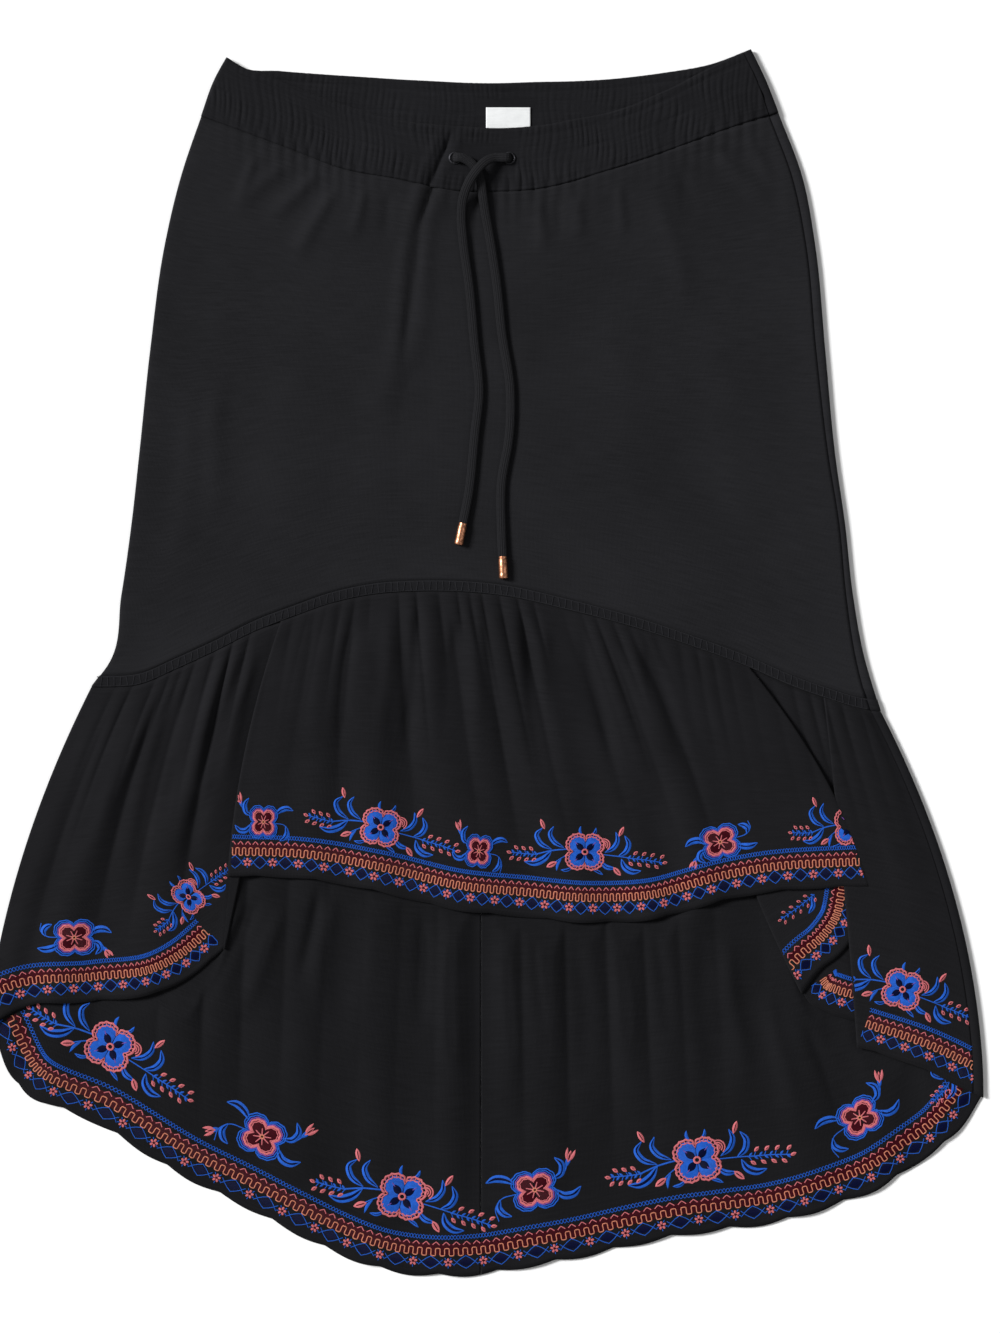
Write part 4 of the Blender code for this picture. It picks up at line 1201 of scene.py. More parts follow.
def small_flower(motif):
    """Four-lobed dark red flower with coral, lavender and blue edges."""

    def edge(turns, reach, notch):
        lobes = 1 - notch + notch * np.abs(np.sin(2 * turns)) ** 0.7
        return reach * lobes + 0.3 * np.cos(20 * turns)

    motif.squash *= SMALL_WIDTH
    for turn in QUARTERS:
        motif.petal("navy", turn, 1.5, 17.6, 8.6, 0.1, 0.3)
    for turn in QUARTERS:
        motif.petal("burgundy", turn, 1.2, 12.6, 5.8, 0.45, 0.2)
    for colour, reach, notch, half, lift in (
        ("royal_blue", 18.6, 0.36, 0.5, 0.4),
        ("royal_blue", 16.8, 0.38, 0.45, 0.4),
        ("lavender", 15.2, 0.4, 0.42, 0.45),
        ("coral", 13.6, 0.46, 0.85, 0.6),
        ("coral", 11.8, 0.5, 0.4, 0.6),
    ):
        motif.ring(colour, lambda turns: edge(turns, reach, notch), half, lift)
    for index in range(8):
        turn = math.pi / 4 * (index + 0.5)
        line = np.linspace(1, 6.6, 5)[:, None] * bearing(turn)
        motif.lay("coral", line, (0.6, 0.5, 0.42, 0.36, 0.3), 0.75, 0.2)
    motif.ring("peach", 1.4, 0.55, 0.85, 0.25, around=np.linspace(0, 2 * math.pi, 13))


def tulip(motif, base, tip, spread=3.2):
    """A tulip-like bud of three coral petals, in a blue sheath."""
    base = np.array(base, dtype=float)
    way = np.array(tip, dtype=float) - base
    side = np.array((way[1], -way[0])) / np.linalg.norm(way)
    for shift in (-1, 1, 0):
        end = base + way * (1.0 if shift else 0.86) + side * shift * spread
        middle = base + way * 0.5 + side * shift * spread * 0.75
        motif.leaf("coral", (base, middle, end), 1.3, 0.2, "burgundy" if shift == 0 else None)
    for reach in (side * spread * 0.5, -side * spread * 0.5):
        motif.leaf("royal_blue", (base - way * 0.35, base + way * 0.3 + reach), 1.0)


def berry_spray(motif, stem, count):
    """A stem with berries and small leaves in turn on both sides."""
    motif.stem(stem)
    line = smooth_line(stem, 1.0)
    onward = np.sign(stem[-1][0] - stem[0][0])
    for index in range(count):
        root = line[int((index + 0.3) / count * (len(line) - 1))]
        side = 1 if index % 2 else -1
        berry = root + np.array((2.6 * onward, side * 5.0))
        motif.stem((root, root + (berry - root) * 0.6), 0.34)
        motif.berry(berry, (onward, side * 0.8), 2.5)
        motif.leaf("royal_blue", (root, root + np.array((2.8 * onward, side * -2.6))), 0.8)
    motif.berry(line[-1] + np.array((2.2 * onward, 0)), (onward, 0.3), 2.4)


def left_spray(motif):
    motif.stem(((-16, 2), (-30, 0), (-44, -4)), 0.6)
    berry_spray(motif, ((-42, -4), (-52, -4), (-66, -3)), 7)
    motif.veined_leaf(((-30, 1), (-41, 7), (-44, 14), (-39, 20)), 2.4)
    motif.veined_leaf(((-19, 3), (-29, 9), (-32, 15), (-29, 22)), 2.3)
    motif.bud((-37, 19), (-41, 28))
    motif.veined_leaf(((-30, 0), (-37, -8), (-46, -12), (-54, -11)), 3.2)
    motif.stem(((-17, -4), (-22, -7), (-26, -10)))
    motif.bud((-25, -10), (-34, -15), 2.4)
    motif.leaf("royal_blue", ((-21, -7), (-24, -12), (-25, -18)), 1.2)


def right_spray(motif):
    motif.stem(((17, -2), (31, -3), (42, -4)))
    berry_spray(motif, ((38, -4), (54, -5), (70, -7)), 8)
    motif.veined_leaf(((18, 0), (26, 5), (29, 12), (27, 19)), 2.3)
    motif.veined_leaf(((30, -3), (37, 2), (39, 9), (35, 16)), 2.5)
    motif.bud((30, 15), (34, 24))
    motif.veined_leaf(((14, -8), (20, -13), (28, -14)), 2.2)
    motif.bud((26, -13), (33, -20), 2.3)
    motif.veined_leaf(((33, -5), (36, -12), (43, -16), (51, -15)), 3.0)


def small_sprays(motif):
    motif.veined_leaf(((-15, 7), (-22, 12), (-30, 14), (-38, 12)), 3.2)
    motif.stem(((-16, -1), (-28, -3), (-34, -10), (-33, -20)))
    motif.veined_leaf(((-29, -3), (-31, -10), (-28, -15), (-22, -18)), 2.8)
    motif.veined_leaf(((15, 6), (23, 9), (25, 16), (20, 23)), 2.8)
    motif.stem(((22, 6), (27, 11), (30, 18)))
    tulip(motif, (30, 17), (35, 27))
    motif.veined_leaf(((15, -2), (23, -9), (30, -9), (37, -4)), 3.2)


def hem_border(stitches, ruffle, index, stretch):
    """Rows of the border along one run of the hem, from the chain down to the lozenges.

    Stretch scales the repeats along the hem, which the front's gathers draw together.
    """
    run = ruffle.runs[index]
    start, end = run["start"] + 0.5, run["end"] - 0.5

    def row(colour, s, t, half, lift, rise=0.25):
        s, t = np.broadcast_arrays(np.asarray(s, dtype=float), np.asarray(t, dtype=float))
        stitches.lay(colour, ruffle.hem_line(run, s, t), half, lift, rise, index)

    s = np.arange(start, end, 4.0)
    row("burgundy", s, GROUND_AT, 5.6, 0.02, 0.12)

    period = MEANDER_PITCH * stretch
    s = np.arange(start, end, period / 12)
    swing = np.sin(2 * math.pi * s / period)
    shape = np.tanh(1.7 * swing) / math.tanh(1.7)
    aside = 0.1 * period * np.sin(4 * math.pi * s / period)
    row("peach", s - aside, MEANDER_AT + 3.4 * shape, 0.47, 0.25)

    period = CHAIN_PITCH * stretch
    s = np.arange(start, end, period / 8)
    for phase in (0.0, math.pi):
        wave = np.sin(2 * math.pi * s / period + phase)
        row("royal_blue", s, CHAIN_AT + 1.9 * wave, 0.29, 0.2 + 0.1 * wave)

    pitch = CHEVRON_PITCH * stretch
    for middle in np.arange(start + pitch / 2, end - pitch / 2, pitch):
        arc = np.linspace(-1, 1, 7)
        peak = 1 - np.abs(arc) ** 1.2
        row("coral", middle + 0.34 * pitch * arc, CHEVRONS_AT + 2.7 * peak, 0.42, 0.25)

    pitch = LOZENGE_PITCH * stretch
    wide = 8.8 * stretch
    for middle in np.arange(start + pitch / 4, end, pitch):
        side = np.linspace(-1, 1, 7)
        row("navy", middle + 0.72 * wide * side, LOZENGES_AT, lens(7, 3.7, 0.9), 0.05, 0.15)
        across = np.array((-1, -0.5, 0, 0.5, 1)) * wide
        tall = np.array((0, 3.3, 5.7, 3.3, 0))
        tail = np.array((0.97, 1.14, 1.3)) * wide
        for sign in (1, -1):
            row("royal_blue", middle + across, LOZENGES_AT + sign * tall, 0.34, 0.2)
            t = LOZENGES_AT + sign * np.array((0.2, 1.3, 2.7))
            for reach in (-1, 1):
                row("royal_blue", middle + reach * tail, t, 0.32, 0.18)
    for middle in np.arange(start + 3 * pitch / 4, end, pitch):
        for turn in np.radians(90 + 72 * np.arange(5)):
            reach = np.array((0.9, 2.0, 3.0, 3.9))
            s, t = middle + reach * math.cos(turn), LOZENGES_AT + reach * math.sin(turn)
            row("coral", s, t, (0.5, 1.0, 1.05, 0.45), 0.25)
        row("burgundy", middle + np.array((-1.2, 0, 1.2)), LOZENGES_AT, (0.5, 1.2, 0.5), 0.45)
        for turn in np.radians(54 + 72 * np.arange(5)):
            reach = np.array((3.2, 4.2, 5.2))
            s, t = middle + reach * math.cos(turn), LOZENGES_AT + reach * math.sin(turn)
            row("royal_blue", s, t, 0.36, 0.15)


# Flowers of both hems: kind, run, place in x and y, squash and scale. Runs 1 and 5 are hidden
SHOWN_RUNS = (0, 2, 3, 4, 6)
FRONT_MOTIFS = (
    ("small below", 0, -370.0, -246.0, 1.0, 1.0),
    ("big", 0, -267.5, -209.5, 0.66, 0.95),
    ("small left", 2, -200.0, -142.0, 0.75, 0.92),
    ("big", 2, -94.5, -146.7, 1.0, 1.0),
    ("small left", 2, -6.3, -168.3, 0.7, 0.92),
    ("big", 2, 89.0, -169.0, 1.0, 1.0),
    ("small below left", 2, 210.6, -160.0, 1.0, 0.95),
    ("big", 2, 327.6, -146.0, 0.8, 1.0),
    ("sprig", 3, 300.0, -203.0, 0.9, 0.86),
    ("big", 6, 374.4, -292.5, 0.95, 1.05),
)
BACK_MOTIFS = (
    ("big", 0, -338.4, -344.7, 1.0, 1.2),
    ("small twin", 0, -201.6, -425.7, 1.0, 1.12),
    ("big", 0, -75.6, -479.7, 1.0, 1.2),
    ("small", 0, 44.0, -473.4, 1.0, 1.12),
    ("big", 0, 190.0, -446.4, 1.0, 1.2),
    ("small", 0, 336.6, -408.6, 1.0, 1.05),
    ("left", 0, 436.0, -352.0, 0.85, 0.95),
)
MIRRORS = {
    "small": (1, 1),
    "small twin": (1, 1),
    "small left": (-1, 1),
    "small below": (0.9, -0.7),
    "small below left": (-0.9, -0.7),
}


def lay_motifs(stitches, ruffle, motifs):
    for kind, index, x, y, squash, scale in motifs:
        if kind == "sprig":
            motif = Motif(stitches, index, (x, y), math.radians(42), scale, squash)
            berry_spray(motif, ((-8, 0), (-30, 1), (-56, 4)), 9)
            motif.veined_leaf(((-12, 0), (-18, -8), (-28, -11)), 2.6)
            continue
        run = ruffle.runs[index]
        s = np.linspace(run["start"], run["end"], 200)
        hem = ruffle.hem_line(run, s, np.zeros(len(s)))
        nearest = int(np.argmin(np.hypot(hem[:, 0] - x, hem[:, 1] - y)))
        low, high = max(nearest - 12, 0), min(nearest + 12, len(s) - 1)
        way = hem[high] - hem[low]
        mirror = MIRRORS.get(kind, (1, 1))
        angle = math.atan2(way[1], way[0])
        motif = Motif(stitches, index, (x, y), angle, scale, squash, mirror)
        if kind in MIRRORS:
            small_sprays(motif)
            if kind == "small twin":
                tulip(motif, (-36, -12), (-44, -18))
            motif.mirror = np.array((1, 1))
            small_flower(motif)
            continue
        left_spray(motif)
        if kind == "big":
            right_spray(motif)
            big_flower(motif)


def ruffle_surface(ruffle):
    def surface(index, plan):
        z, inside = ruffle.drape(ruffle.runs[index], plan)
        return z + 0.5, inside
    return surface


def colour_property(name, description, colour):
    return bpy.props.FloatVectorProperty(
        name=name, description=description, subtype="COLOR", size=3, min=0, max=1, default=colour
    )


def length_property(name, description, millimetres):
    return bpy.props.FloatProperty(
        name=name,
        description=description,
        unit="LENGTH",
        min=0,
        precision=4,
        default=millimetres * MM,
    )


class SkirtSizes(bpy.types.PropertyGroup):
    """Sizes that a user would change"""

    cloth_wall: length_property("Cloth", "Thickness of the crepe", 1.0)
    band_wall: length_property("Waistband", "Thickness of the doubled waistband", 1.5)
    ruching: length_property("Ruching", "Height of the waistband's gathers", 1.3)
    cord_width: length_property("Cord width", "Width of the flattened drawstring", 8.4)
    cord_thickness: length_property("Cord thickness", "Thickness of the drawstring", 4.0)
    camera_height: length_property("Camera height", "Height of the camera over the cloth", 2833)


class SkirtColours(bpy.types.PropertyGroup):
    """Colours that a user would change"""

    body: colour_property("Body", "Black crepe of the body", (0.0121, 0.0121, 0.0137))
    band: colour_property("Waistband", "Black crepe of the waistband", (0.0091, 0.0091, 0.0105))
    ruffle: colour_property("Ruffle", "Black crepe of the ruffle", (0.0087, 0.0086, 0.0099))
    inside: colour_property("Ruffle inside", "Wrong side of the ruffle", (0.0073, 0.0073, 0.0084))
    cord: colour_property("Cord", "Black of the drawstring", (0.0125, 0.0125, 0.0142))
    label: colour_property("Label", "White of the bare label", (0.87, 0.885, 0.89))
    copper: colour_property("Tips", "Copper of the drawstring's tips", (0.62, 0.28, 0.16))
    metal: colour_property("Eyelets", "Dark metal of the eyelets", (0.03, 0.03, 0.034))
    royal_blue: colour_property("Royal blue", "Leaves and blue flowers", (0.018, 0.112, 0.56))
    navy: colour_property("Navy", "Hearts of the blue flowers", (0.001, 0.0025, 0.026))
    coral: colour_property("Coral", "Edges, buds and berries", (0.63, 0.16, 0.18))
    peach: colour_property("Peach", "Meander of the border", (0.62, 0.22, 0.135))
    burgundy: colour_property("Burgundy", "Ground of the border", (0.042, 0.002, 0.006))
    lavender: colour_property("Lavender", "Edges of the red flowers", (0.20, 0.08, 0.38))


class SKIRT_OT_stage(bpy.types.Operator):
    """Camera over the skirt, pale floor and soft studio light"""

    bl_idname = "skirt.stage"
    bl_label = "Stage"

    def execute(self, context):
        camera = bpy.data.cameras.new("camera")
        camera.lens = CAMERA_LENS
        camera.clip_end = 20
        seen = link(bpy.data.objects.new("camera", camera))
        height = context.scene.skirt_sizes.camera_height
        x, y = CAMERA_AT
        seen.location = (x * MM, y * MM, height + FRONT_LEVEL * MM)
        context.scene.camera = seen

        mesh = plain_grid("floor", 1, 1, FLOOR_REACH)
        floor = link(bpy.data.objects.new("floor", mesh))
        floor.location.z = FLOOR_LEVEL * MM
        finish = Finish("pale_floor")
        cloudy = finish.noise(finish.solid_places(), 2.0, 2.0)
        tone = finish.blend(cloudy, (0.93, 0.93, 0.93, 1), (0.95, 0.95, 0.95, 1))
        mesh.materials.append(finish.surface(tone, 0.9, specular_ior_level=0.1))

        world = bpy.data.worlds.new("studio")
        context.scene.world = world
        world.use_nodes = True
        sky = world.node_tree.nodes["Background"].inputs
        sky["Color"].default_value = (1, 1, 1, 1)
        sky["Strength"].default_value = SKY_LIGHT
        for name, place, softness, power in (
            ("key", (-2.2, 0.9, 1.6), 18, 4.7),
            ("fill", (2.4, -0.4, 2.6), 40, 0.3),
        ):
            light = bpy.data.lights.new(name, "SUN")
            light.angle = math.radians(softness)
            light.energy = power
            lamp = link(bpy.data.objects.new(name, light))
            lamp.location = place
            lamp.rotation_euler = (-Vector(place)).to_track_quat("-Z", "Y").to_euler()
        context.scene.view_settings.view_transform = "Standard"
        return {"FINISHED"}


class SKIRT_OT_drawstring(bpy.types.Operator):
    """Drawstring's two free ends, with their copper tips and eyelets"""

    bl_idname = "skirt.drawstring"
    bl_label = "Drawstring"

    def execute(self, context):
        sizes = context.scene.skirt_sizes
        colours = context.scene.skirt_colours
        finish = braid("black_braid", colours.cord)
        tip_finish = copper("copper_tip_worn", colours.copper)
        ring_finish = eyelet_metal("dark_eyelet_metal", colours.metal)
        width, thickness = sizes.cord_width / MM, sizes.cord_thickness / MM
        for side, strand, hole in (
            ("left", LEFT_STRAND, "eyelet_right"),
            ("right", RIGHT_STRAND, "eyelet_left"),
        ):
            route = fine_route(strand_route(strand), 2.0)
            route[:, 2] -= np.clip(np.arange(len(route)) / 8, 0, 1) * (CORD_RADIUS - thickness / 2)
            item = self.add_cord("cord_" + side, route, width, thickness, finish)
            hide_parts("drawstring_" + side)
            tip = self.add_tip("cord_tip_" + side, route, tip_finish)
            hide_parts("tip_" + side)
            ring = self.add_eyelet("cord_eyelet_" + side, route[0], ring_finish)
            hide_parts(hole)
        return {"FINISHED"}

    def add_cord(self, name, route, width, thickness, finish):
        way = np.gradient(route, axis=0)
        way = way / np.linalg.norm(way, axis=1, keepdims=True)
        side = np.cross(way, (0, 0, 1))
        flat = np.linalg.norm(side, axis=1) > 0.5
        first = int(np.argmax(flat))
        side[:first] = side[first]
        side = side - way * (side * way).sum(axis=1, keepdims=True)
        side = side / np.linalg.norm(side, axis=1, keepdims=True)
        up = np.cross(side, way)
        turns = np.linspace(0, 2 * math.pi, 25)
        square = 0.8
        across = np.sign(np.cos(turns)) * np.abs(np.cos(turns)) ** square * width / 2
        rise = np.sign(np.sin(turns)) * np.abs(np.sin(turns)) ** square * thickness / 2
        grid = route[:, None] + side[:, None] * across[:, None] + up[:, None] * rise[:, None]
        places = running_total(np.linalg.norm(np.diff(route, axis=0), axis=1))
        around = np.linspace(0, math.pi * (width + thickness) / 2, len(turns))
        plan = np.stack(np.meshgrid(around, places), axis=-1)[..., ::-1] * MM
        mesh = placed_grid(name, grid, plan)
        bm = opened(mesh)
        bmesh.ops.remove_doubles(bm, verts=bm.verts, dist=0.01 * MM)
        rims = [edge for edge in bm.edges if edge.is_boundary]
        bmesh.ops.holes_fill(bm, edges=rims)
        bmesh.ops.recalc_face_normals(bm, faces=bm.faces)
        return dress_mesh(name, closed(bm, mesh), [finish])

    def add_tip(self, name, route, finish):
        end = Vector(route[-1])
        heading = (end - Vector(route[-4])).normalized()
        section = (
            (0, -2.2), (3.2, -2.2), (3.7, -1.8), (3.8, -1.0), (3.55, -0.2), (3.75, 0.6),
            (3.95, 1.6), (4.0, 12.6), (3.85, 13.4), (4.05, 14.1), (4.1, 16.6), (3.8, 17.6),
            (3.3, 17.9), (2.5, 17.7), (2.3, 16.4), (0, 16.2),
        )
        turn = heading.to_track_quat("Z", "Y").to_matrix().to_4x4()
        place = Matrix.Translation((end + heading * 0.3) * MM) @ turn
        return revolve(name, section, 32, finish, place)

    def add_eyelet(self, name, start, finish):
        low = BAND_FRONT_LEVEL + BAND_WALL / 2 + GAP
        section = (
            (3.9, low - 0.9), (5.6, low - 0.6), (5.75, low - 0.1), (5.4, low + 0.5),
            (4.8, low + 0.85), (4.2, low + 0.7), (3.8, low + 0.3), (3.7, low - 0.3),
            (3.9, low - 0.9),
        )
        place = Matrix.Translation(Vector((start[0], start[1], 0)) * MM)
        return revolve(name, section, 36, finish, place)


class SKIRT_OT_waistband(bpy.types.Operator):
    """Gathered elastic waistband, front and back, with its bare label"""

    bl_idname = "skirt.waistband"
    bl_label = "Waistband"

    def execute(self, context):
        sizes = context.scene.skirt_sizes
        colours = context.scene.skirt_colours
        finish = crepe("waistband_crepe", colours.band)
        ruching = sizes.ruching / MM
        wall = sizes.band_wall / MM
        levels = (BAND_BACK_LEVEL, BAND_FRONT_LEVEL)
        limits = (TOP_EDGE, 0, WAIST_SEAM, 0)
        front = lay_panel(front_columns, BAND_FRONT_GRID, levels, limits)
        top = front[:, FOLD_COLUMNS:]
        top[..., 2] += self.gathers(top, FRONT_TOP, FRONT_WAIST, ruching, PLACKET)
        above = top[..., 1] - curve_y(FRONT_WAIST, top[..., 0])
        inside = ease((top[..., 0] - top[:, :1, 0]) / FRONT_SIDES)
        inside = inside * ease((top[:, -1:, 0] - top[..., 0]) / FRONT_SIDES)
        drawn = puckers(top[..., 0]) * np.exp(-(above / 11) ** 2)
        top[..., 2] += (drawn + creases(BAND_CREASES, top[..., 0], top[..., 1])) * inside
        item = make_cloth("front_waistband", front, wall, finish, "waistband_front")

        back = lay_panel(back_columns, BAND_BACK_GRID, levels, limits)
        flat = back[:, :BAND_BACK_GRID[0] + 1]
        flat[..., 2] += self.gathers(flat, BACK_TOP, BACK_WAIST, ruching * 0.6, AROUND_LABEL)
        back_item = make_cloth("back_waistband", back, wall, finish, "waistband_back")
        label = self.add_label(colours)
        return {"FINISHED"}

    def gathers(self, grid, top, bottom, height, calm):
        """Uneven vertical ruching, with stitched grooves below the top and over the seam."""
        x, y = grid[..., 0], grid[..., 1]
        top_y, bottom_y = curve_y(top, x), curve_y(bottom, x)
        down = np.clip((top_y - y) / (top_y - bottom_y), 0, 1)
        u = x + 2.3 * np.sin(x / 19 + 0.7) + 1.2 * np.sin(x / 7.3) + 1.4 * np.sin(y / 9 + x / 31)
        ridge = np.sqrt(np.sin(math.pi * u / 5.3) ** 2 + 0.02)
        second = np.sqrt(np.sin(math.pi * (u + 2.1) / 8.6) ** 2 + 0.02)
        strength = 0.55 + 0.45 * np.sin(x / 27 + 1.1) * np.sin(x / 11 + y / 8)
        relief = (0.7 * ridge + 0.4 * second) * strength * height
        for groove, depth in ((0.15, 0.55), (0.5, 0.1), (0.93, 0.1)):
            reach = np.exp(-((down - groove) / 0.02) ** 2)
            relief = relief * (1 - 0.6 * reach) - depth * reach
        aside_x = np.maximum(calm["left"] - x, x - calm["right"])
        aside_y = np.maximum(calm["bottom"] - y, y - calm["top"])
        outside = ease(np.maximum(aside_x, aside_y) / 4 + 0.5)
        ends = ease((down + 0.01) / 0.05) * ease((1.01 - down) / 0.05)
        return relief * outside * (0.35 + 0.65 * ends)

    def add_label(self, colours):
        x = np.linspace(LABEL["left"], LABEL["right"], 41)
        y = np.linspace(LABEL["top"], LABEL["bottom"], 29)
        plan_x, plan_y = np.meshgrid(x, y)
        z = BAND_WALL + GAP + 0.3 + 0.25 * np.sin(plan_x / 9) * np.sin(plan_y / 7)
        fold = np.exp(-((LABEL["top"] - plan_y) / 1.2) ** 2)
        grid = np.stack((plan_x, plan_y, z + 0.35 * fold), axis=-1)
        finish = satin("label_satin", colours.label)
        item = make_cloth("bare_label", grid, LABEL_CLOTH, finish, "label")
        return item


class SKIRT_OT_body(bpy.types.Operator):
    """Plain body, front and back"""

    bl_idname = "skirt.body"
    bl_label = "Body"

    def execute(self, context):
        sizes = context.scene.skirt_sizes
        finish = crepe("body_crepe", context.scene.skirt_colours.body)
        wall = sizes.cloth_wall / MM
        limits = (WAIST_SEAM, -0.05, YOKE_SEAM, SEAM_BAND_WIDTH + GAP + 0.05)
        levels = (BACK_LEVEL, FRONT_LEVEL)
        front = lay_panel(front_columns, BODY_FRONT_GRID, levels, limits)
        top = front[:, FOLD_COLUMNS:]
        level = np.maximum(body_level(top[..., 0], top[..., 1]), 1.9)
        above_yoke = top[..., 1] - curve_y(FRONT_YOKE, top[..., 0]) - SEAM_BAND_WIDTH
        level = level + 0.8 * np.exp(-(above_yoke / 9) ** 2)
        inside = ease((top[..., 0] - top[:, :1, 0]) / FRONT_SIDES)
        top[..., 2] = FRONT_LEVEL * (1 - inside) + level * inside
        item = make_cloth("front_body", front, wall, finish, "body_front")
        back = lay_panel(back_columns, BODY_BACK_GRID, levels, limits)
        under = make_cloth("back_body", back, wall, finish, "body_back")
        return {"FINISHED"}


class SKIRT_OT_yoke_band(bpy.types.Operator):
    """Raised band along the yoke seam, with its ladder stitching"""

    bl_idname = "skirt.yoke_band"
    bl_label = "Yoke band"

    def execute(self, context):
        finish = crepe("yoke_band_crepe", context.scene.skirt_colours.band)
        levels = (SEAM_BAND_WALL / 2, SEAM_BAND_LEVEL)
        limits = (YOKE_SEAM, SEAM_BAND_WIDTH + GAP, YOKE_SEAM, GAP)
        front = lay_panel(front_columns, SEAM_FRONT_GRID, levels, limits)
        top = front[:, FOLD_COLUMNS:]
        pillow = 0.4 * np.sin(math.pi * np.linspace(0, 1, len(top))[:, None]) ** 0.6
        top[..., 2] += pillow * (0.75 + 0.25 * np.sin(2 * math.pi * top[..., 0] / LADDER_PITCH))
        item = make_cloth("front_yoke_band", front, SEAM_CLOTH, finish, "seam_band_front")
        back = lay_panel(back_columns, SEAM_BACK_GRID, levels, limits)
        under = make_cloth("back_yoke_band", back, SEAM_CLOTH, finish, "seam_band_back")

        def surface(_, plan):
            level = SEAM_BAND_LEVEL + SEAM_CLOTH / 2 + 0.3
            return np.full(len(plan), level), np.ones(len(plan), dtype=bool)

        stitches = Stitches(surface, ("black",))
        for x in np.arange(*LADDER_ENDS, LADDER_PITCH):
            seam = float(curve_y(FRONT_YOKE, x))
            lean = 0.7 * math.sin(x * 1.7)
            line = [(x - lean, seam + 1.6), (x, seam + 5.3), (x + lean, seam + 9.2)]
            stitches.lay("black", line, 0.7, -0.05, 0.6)
        for rise in EDGE_LINES:
            x = np.arange(-350, 345, 3.0)
            line = np.stack((x, curve_y(FRONT_YOKE, x) + rise), axis=-1)
            stitches.lay("black", line, 0.45, -0.3, 0.4)
        dark = thread("black_thread", (0.019, 0.019, 0.022))
        bars = stitches.build("yoke_ladder_stitches", False, [dark])
        return {"FINISHED"}


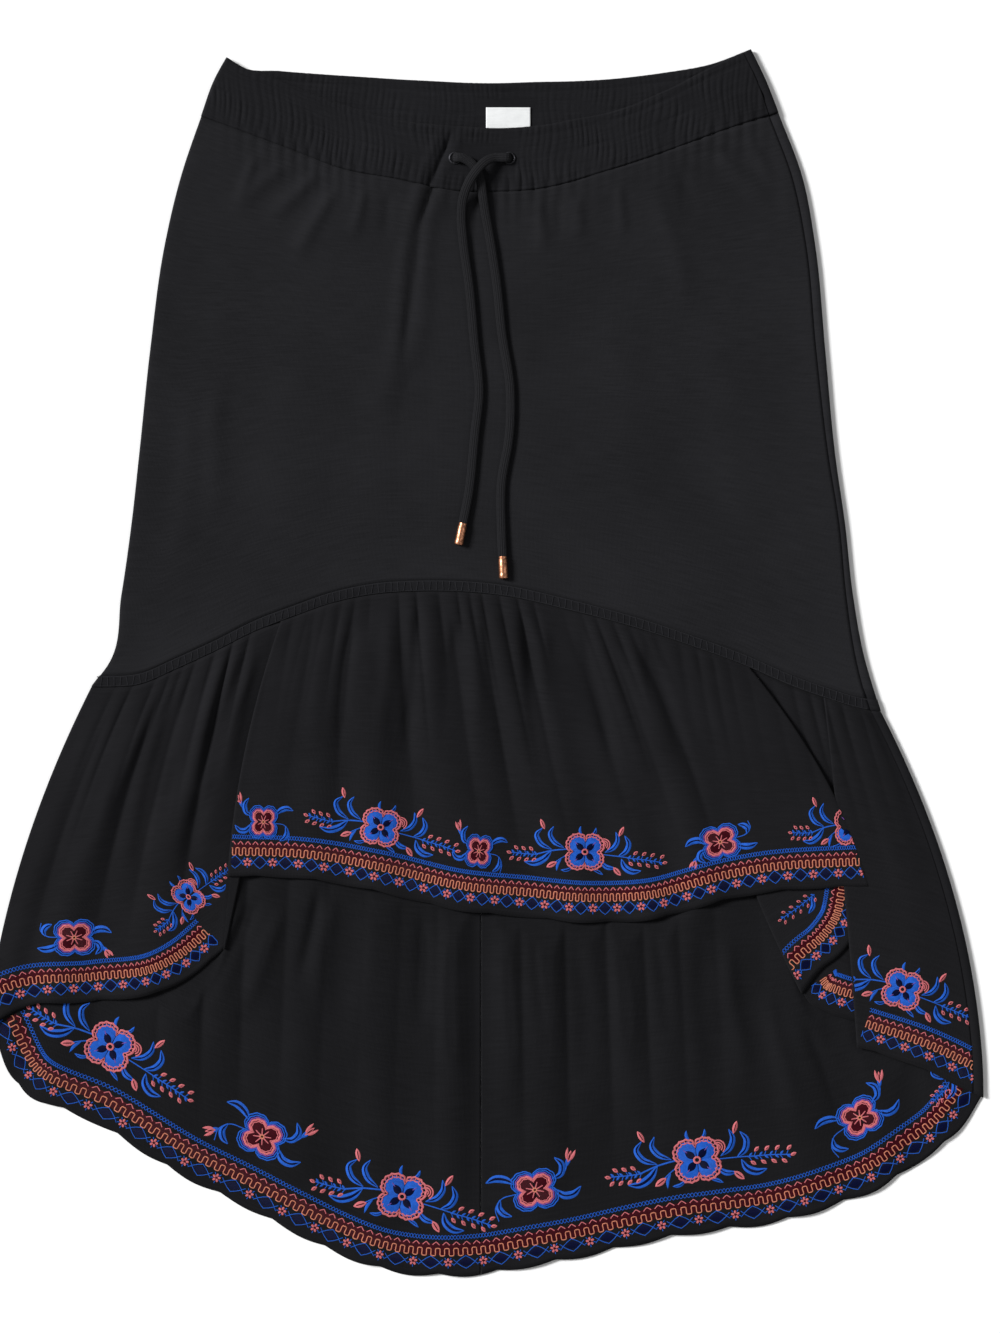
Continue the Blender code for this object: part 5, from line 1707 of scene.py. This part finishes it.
class SKIRT_OT_ruffle(bpy.types.Operator):
    """Gathered ruffle, its folds and its embroidered hem, front and back"""

    bl_idname = "skirt.ruffle"
    bl_label = "Ruffle"

    def execute(self, context):
        colours = context.scene.skirt_colours
        finish = crepe("ruffle_crepe", colours.ruffle)
        inside = crepe("ruffle_inside_crepe", colours.inside)
        threads = [thread(name + "_thread", getattr(colours, name)) for name in THREADS]
        wall = context.scene.skirt_sizes.cloth_wall / MM
        radius = fold_arc(BACK_LEVEL, FRONT_LEVEL)[0]
        shifts = (radius, -RIGHT_INSET)
        front = Ruffle(FRONT_RUFFLE, FRONT_YOKE, FRONT_LEVEL, shifts, front_waves, FRONT_SCALLOP)
        shifts = (LEFT_WRAP + GAP, -radius)
        back = Ruffle(BACK_RUFFLE, BACK_YOKE, BACK_LEVEL, shifts, back_waves, BACK_SCALLOP)
        self.add_front(front, back, wall, finish, threads)
        self.add_back(front, back, wall, inside, threads)
        return {"FINISHED"}

    def add_front(self, front, back, wall, finish, threads):
        downs = self.downs(FRONT_DEPTH)
        wrap = [back.edge_column(False, LEFT_WRAP, BACK_LEVEL, downs)]
        wrap += self.side_fold(front, back, False, downs)
        grid = np.concatenate((np.stack(wrap, axis=1), front.grid(downs, ACROSS)), axis=1)
        item = make_cloth("front_ruffle", grid, wall, finish, "ruffle_front")
        pieces = self.embroider(
            "front_hem", front, FRONT_MOTIFS, SHOWN_RUNS, threads, FRONT_STRETCH
        )

    def add_back(self, front, back, wall, finish, threads):
        downs = self.downs(BACK_DEPTH)
        grid = back.grid(downs, ACROSS)
        wrap = self.side_fold(front, back, True, downs)
        for shift in (back.right_shift, GAP - RIGHT_INSET):
            wrap.append(front.edge_column(True, shift, FRONT_LEVEL, downs))
        middle = int(np.argmin(np.abs(grid[0, :, 0] - CENTRE_BACK_X)))
        left = grid[:, :middle + 1].copy()
        left[:, -1, 0] -= GAP / 2
        right = np.concatenate((grid[:, middle:], np.stack(wrap, axis=1)), axis=1)
        right[:, 0, 0] += GAP / 2
        pieces = self.embroider("back_hem", back, BACK_MOTIFS, (0,), threads)
        half = make_cloth("back_ruffle_left", left, wall, finish, "ruffle_back_left")
        half = make_cloth("back_ruffle_right", right, wall, finish, "ruffle_back_right")

    def side_fold(self, front, back, last, downs):
        """Lay the columns that turn up round a side fold, from the back ruffle to the front."""
        radius, centre = fold_arc(BACK_LEVEL, FRONT_LEVEL)
        columns = []
        for angle in FOLD_ANGLES:
            shift = radius * (1 - math.cos(angle)) * (-1 if last else 1)
            side = back if angle < 0 else front
            z = centre + radius * math.sin(angle)
            columns.append(side.edge_column(last, shift, z, downs))
        return columns

    def downs(self, depth):
        rows = math.ceil(depth / DOWNWARDS)
        return np.linspace(0, 1, rows + 1)

    def embroider(self, name, ruffle, motifs, runs, threads, stretch=1.0):
        stitches = Stitches(ruffle_surface(ruffle), THREADS)
        for index in runs:
            hem_border(stitches, ruffle, index, stretch)
        lay_motifs(stitches, ruffle, motifs)
        fine = stitches.build(name + "_lines", False, threads)
        wide = stitches.build(name + "_fills", True, threads)
        return [fine, wide]


OPERATORS = (
    SKIRT_OT_stage,
    SKIRT_OT_drawstring,
    SKIRT_OT_waistband,
    SKIRT_OT_body,
    SKIRT_OT_yoke_band,
    SKIRT_OT_ruffle,
)


class SKIRT_PT_pieces(bpy.types.Panel):
    """Lists the skirt's sizes, colours and pieces"""

    bl_idname = "SKIRT_PT_pieces"
    bl_label = "Maxi skirt"
    bl_space_type = "VIEW_3D"
    bl_region_type = "UI"
    bl_category = "Skirt"

    def draw(self, context):
        for group in (context.scene.skirt_sizes, context.scene.skirt_colours):
            for name in group.__annotations__:
                self.layout.prop(group, name)
        for operator in OPERATORS:
            self.layout.operator(operator.bl_idname)


CLASSES = (SkirtSizes, SkirtColours, *OPERATORS, SKIRT_PT_pieces)


def register():
    for each in CLASSES:
        bpy.utils.register_class(each)
    bpy.types.Scene.skirt_sizes = bpy.props.PointerProperty(type=SkirtSizes)
    bpy.types.Scene.skirt_colours = bpy.props.PointerProperty(type=SkirtColours)


def unregister():
    del bpy.types.Scene.skirt_sizes
    del bpy.types.Scene.skirt_colours
    for each in reversed(CLASSES):
        bpy.utils.unregister_class(each)


def main():
    register()
    bpy.ops.skirt.stage()
    bpy.ops.skirt.drawstring()
    bpy.ops.skirt.waistband()
    bpy.ops.skirt.body()
    bpy.ops.skirt.yoke_band()
    bpy.ops.skirt.ruffle()


if __name__ == "__main__":
    main()
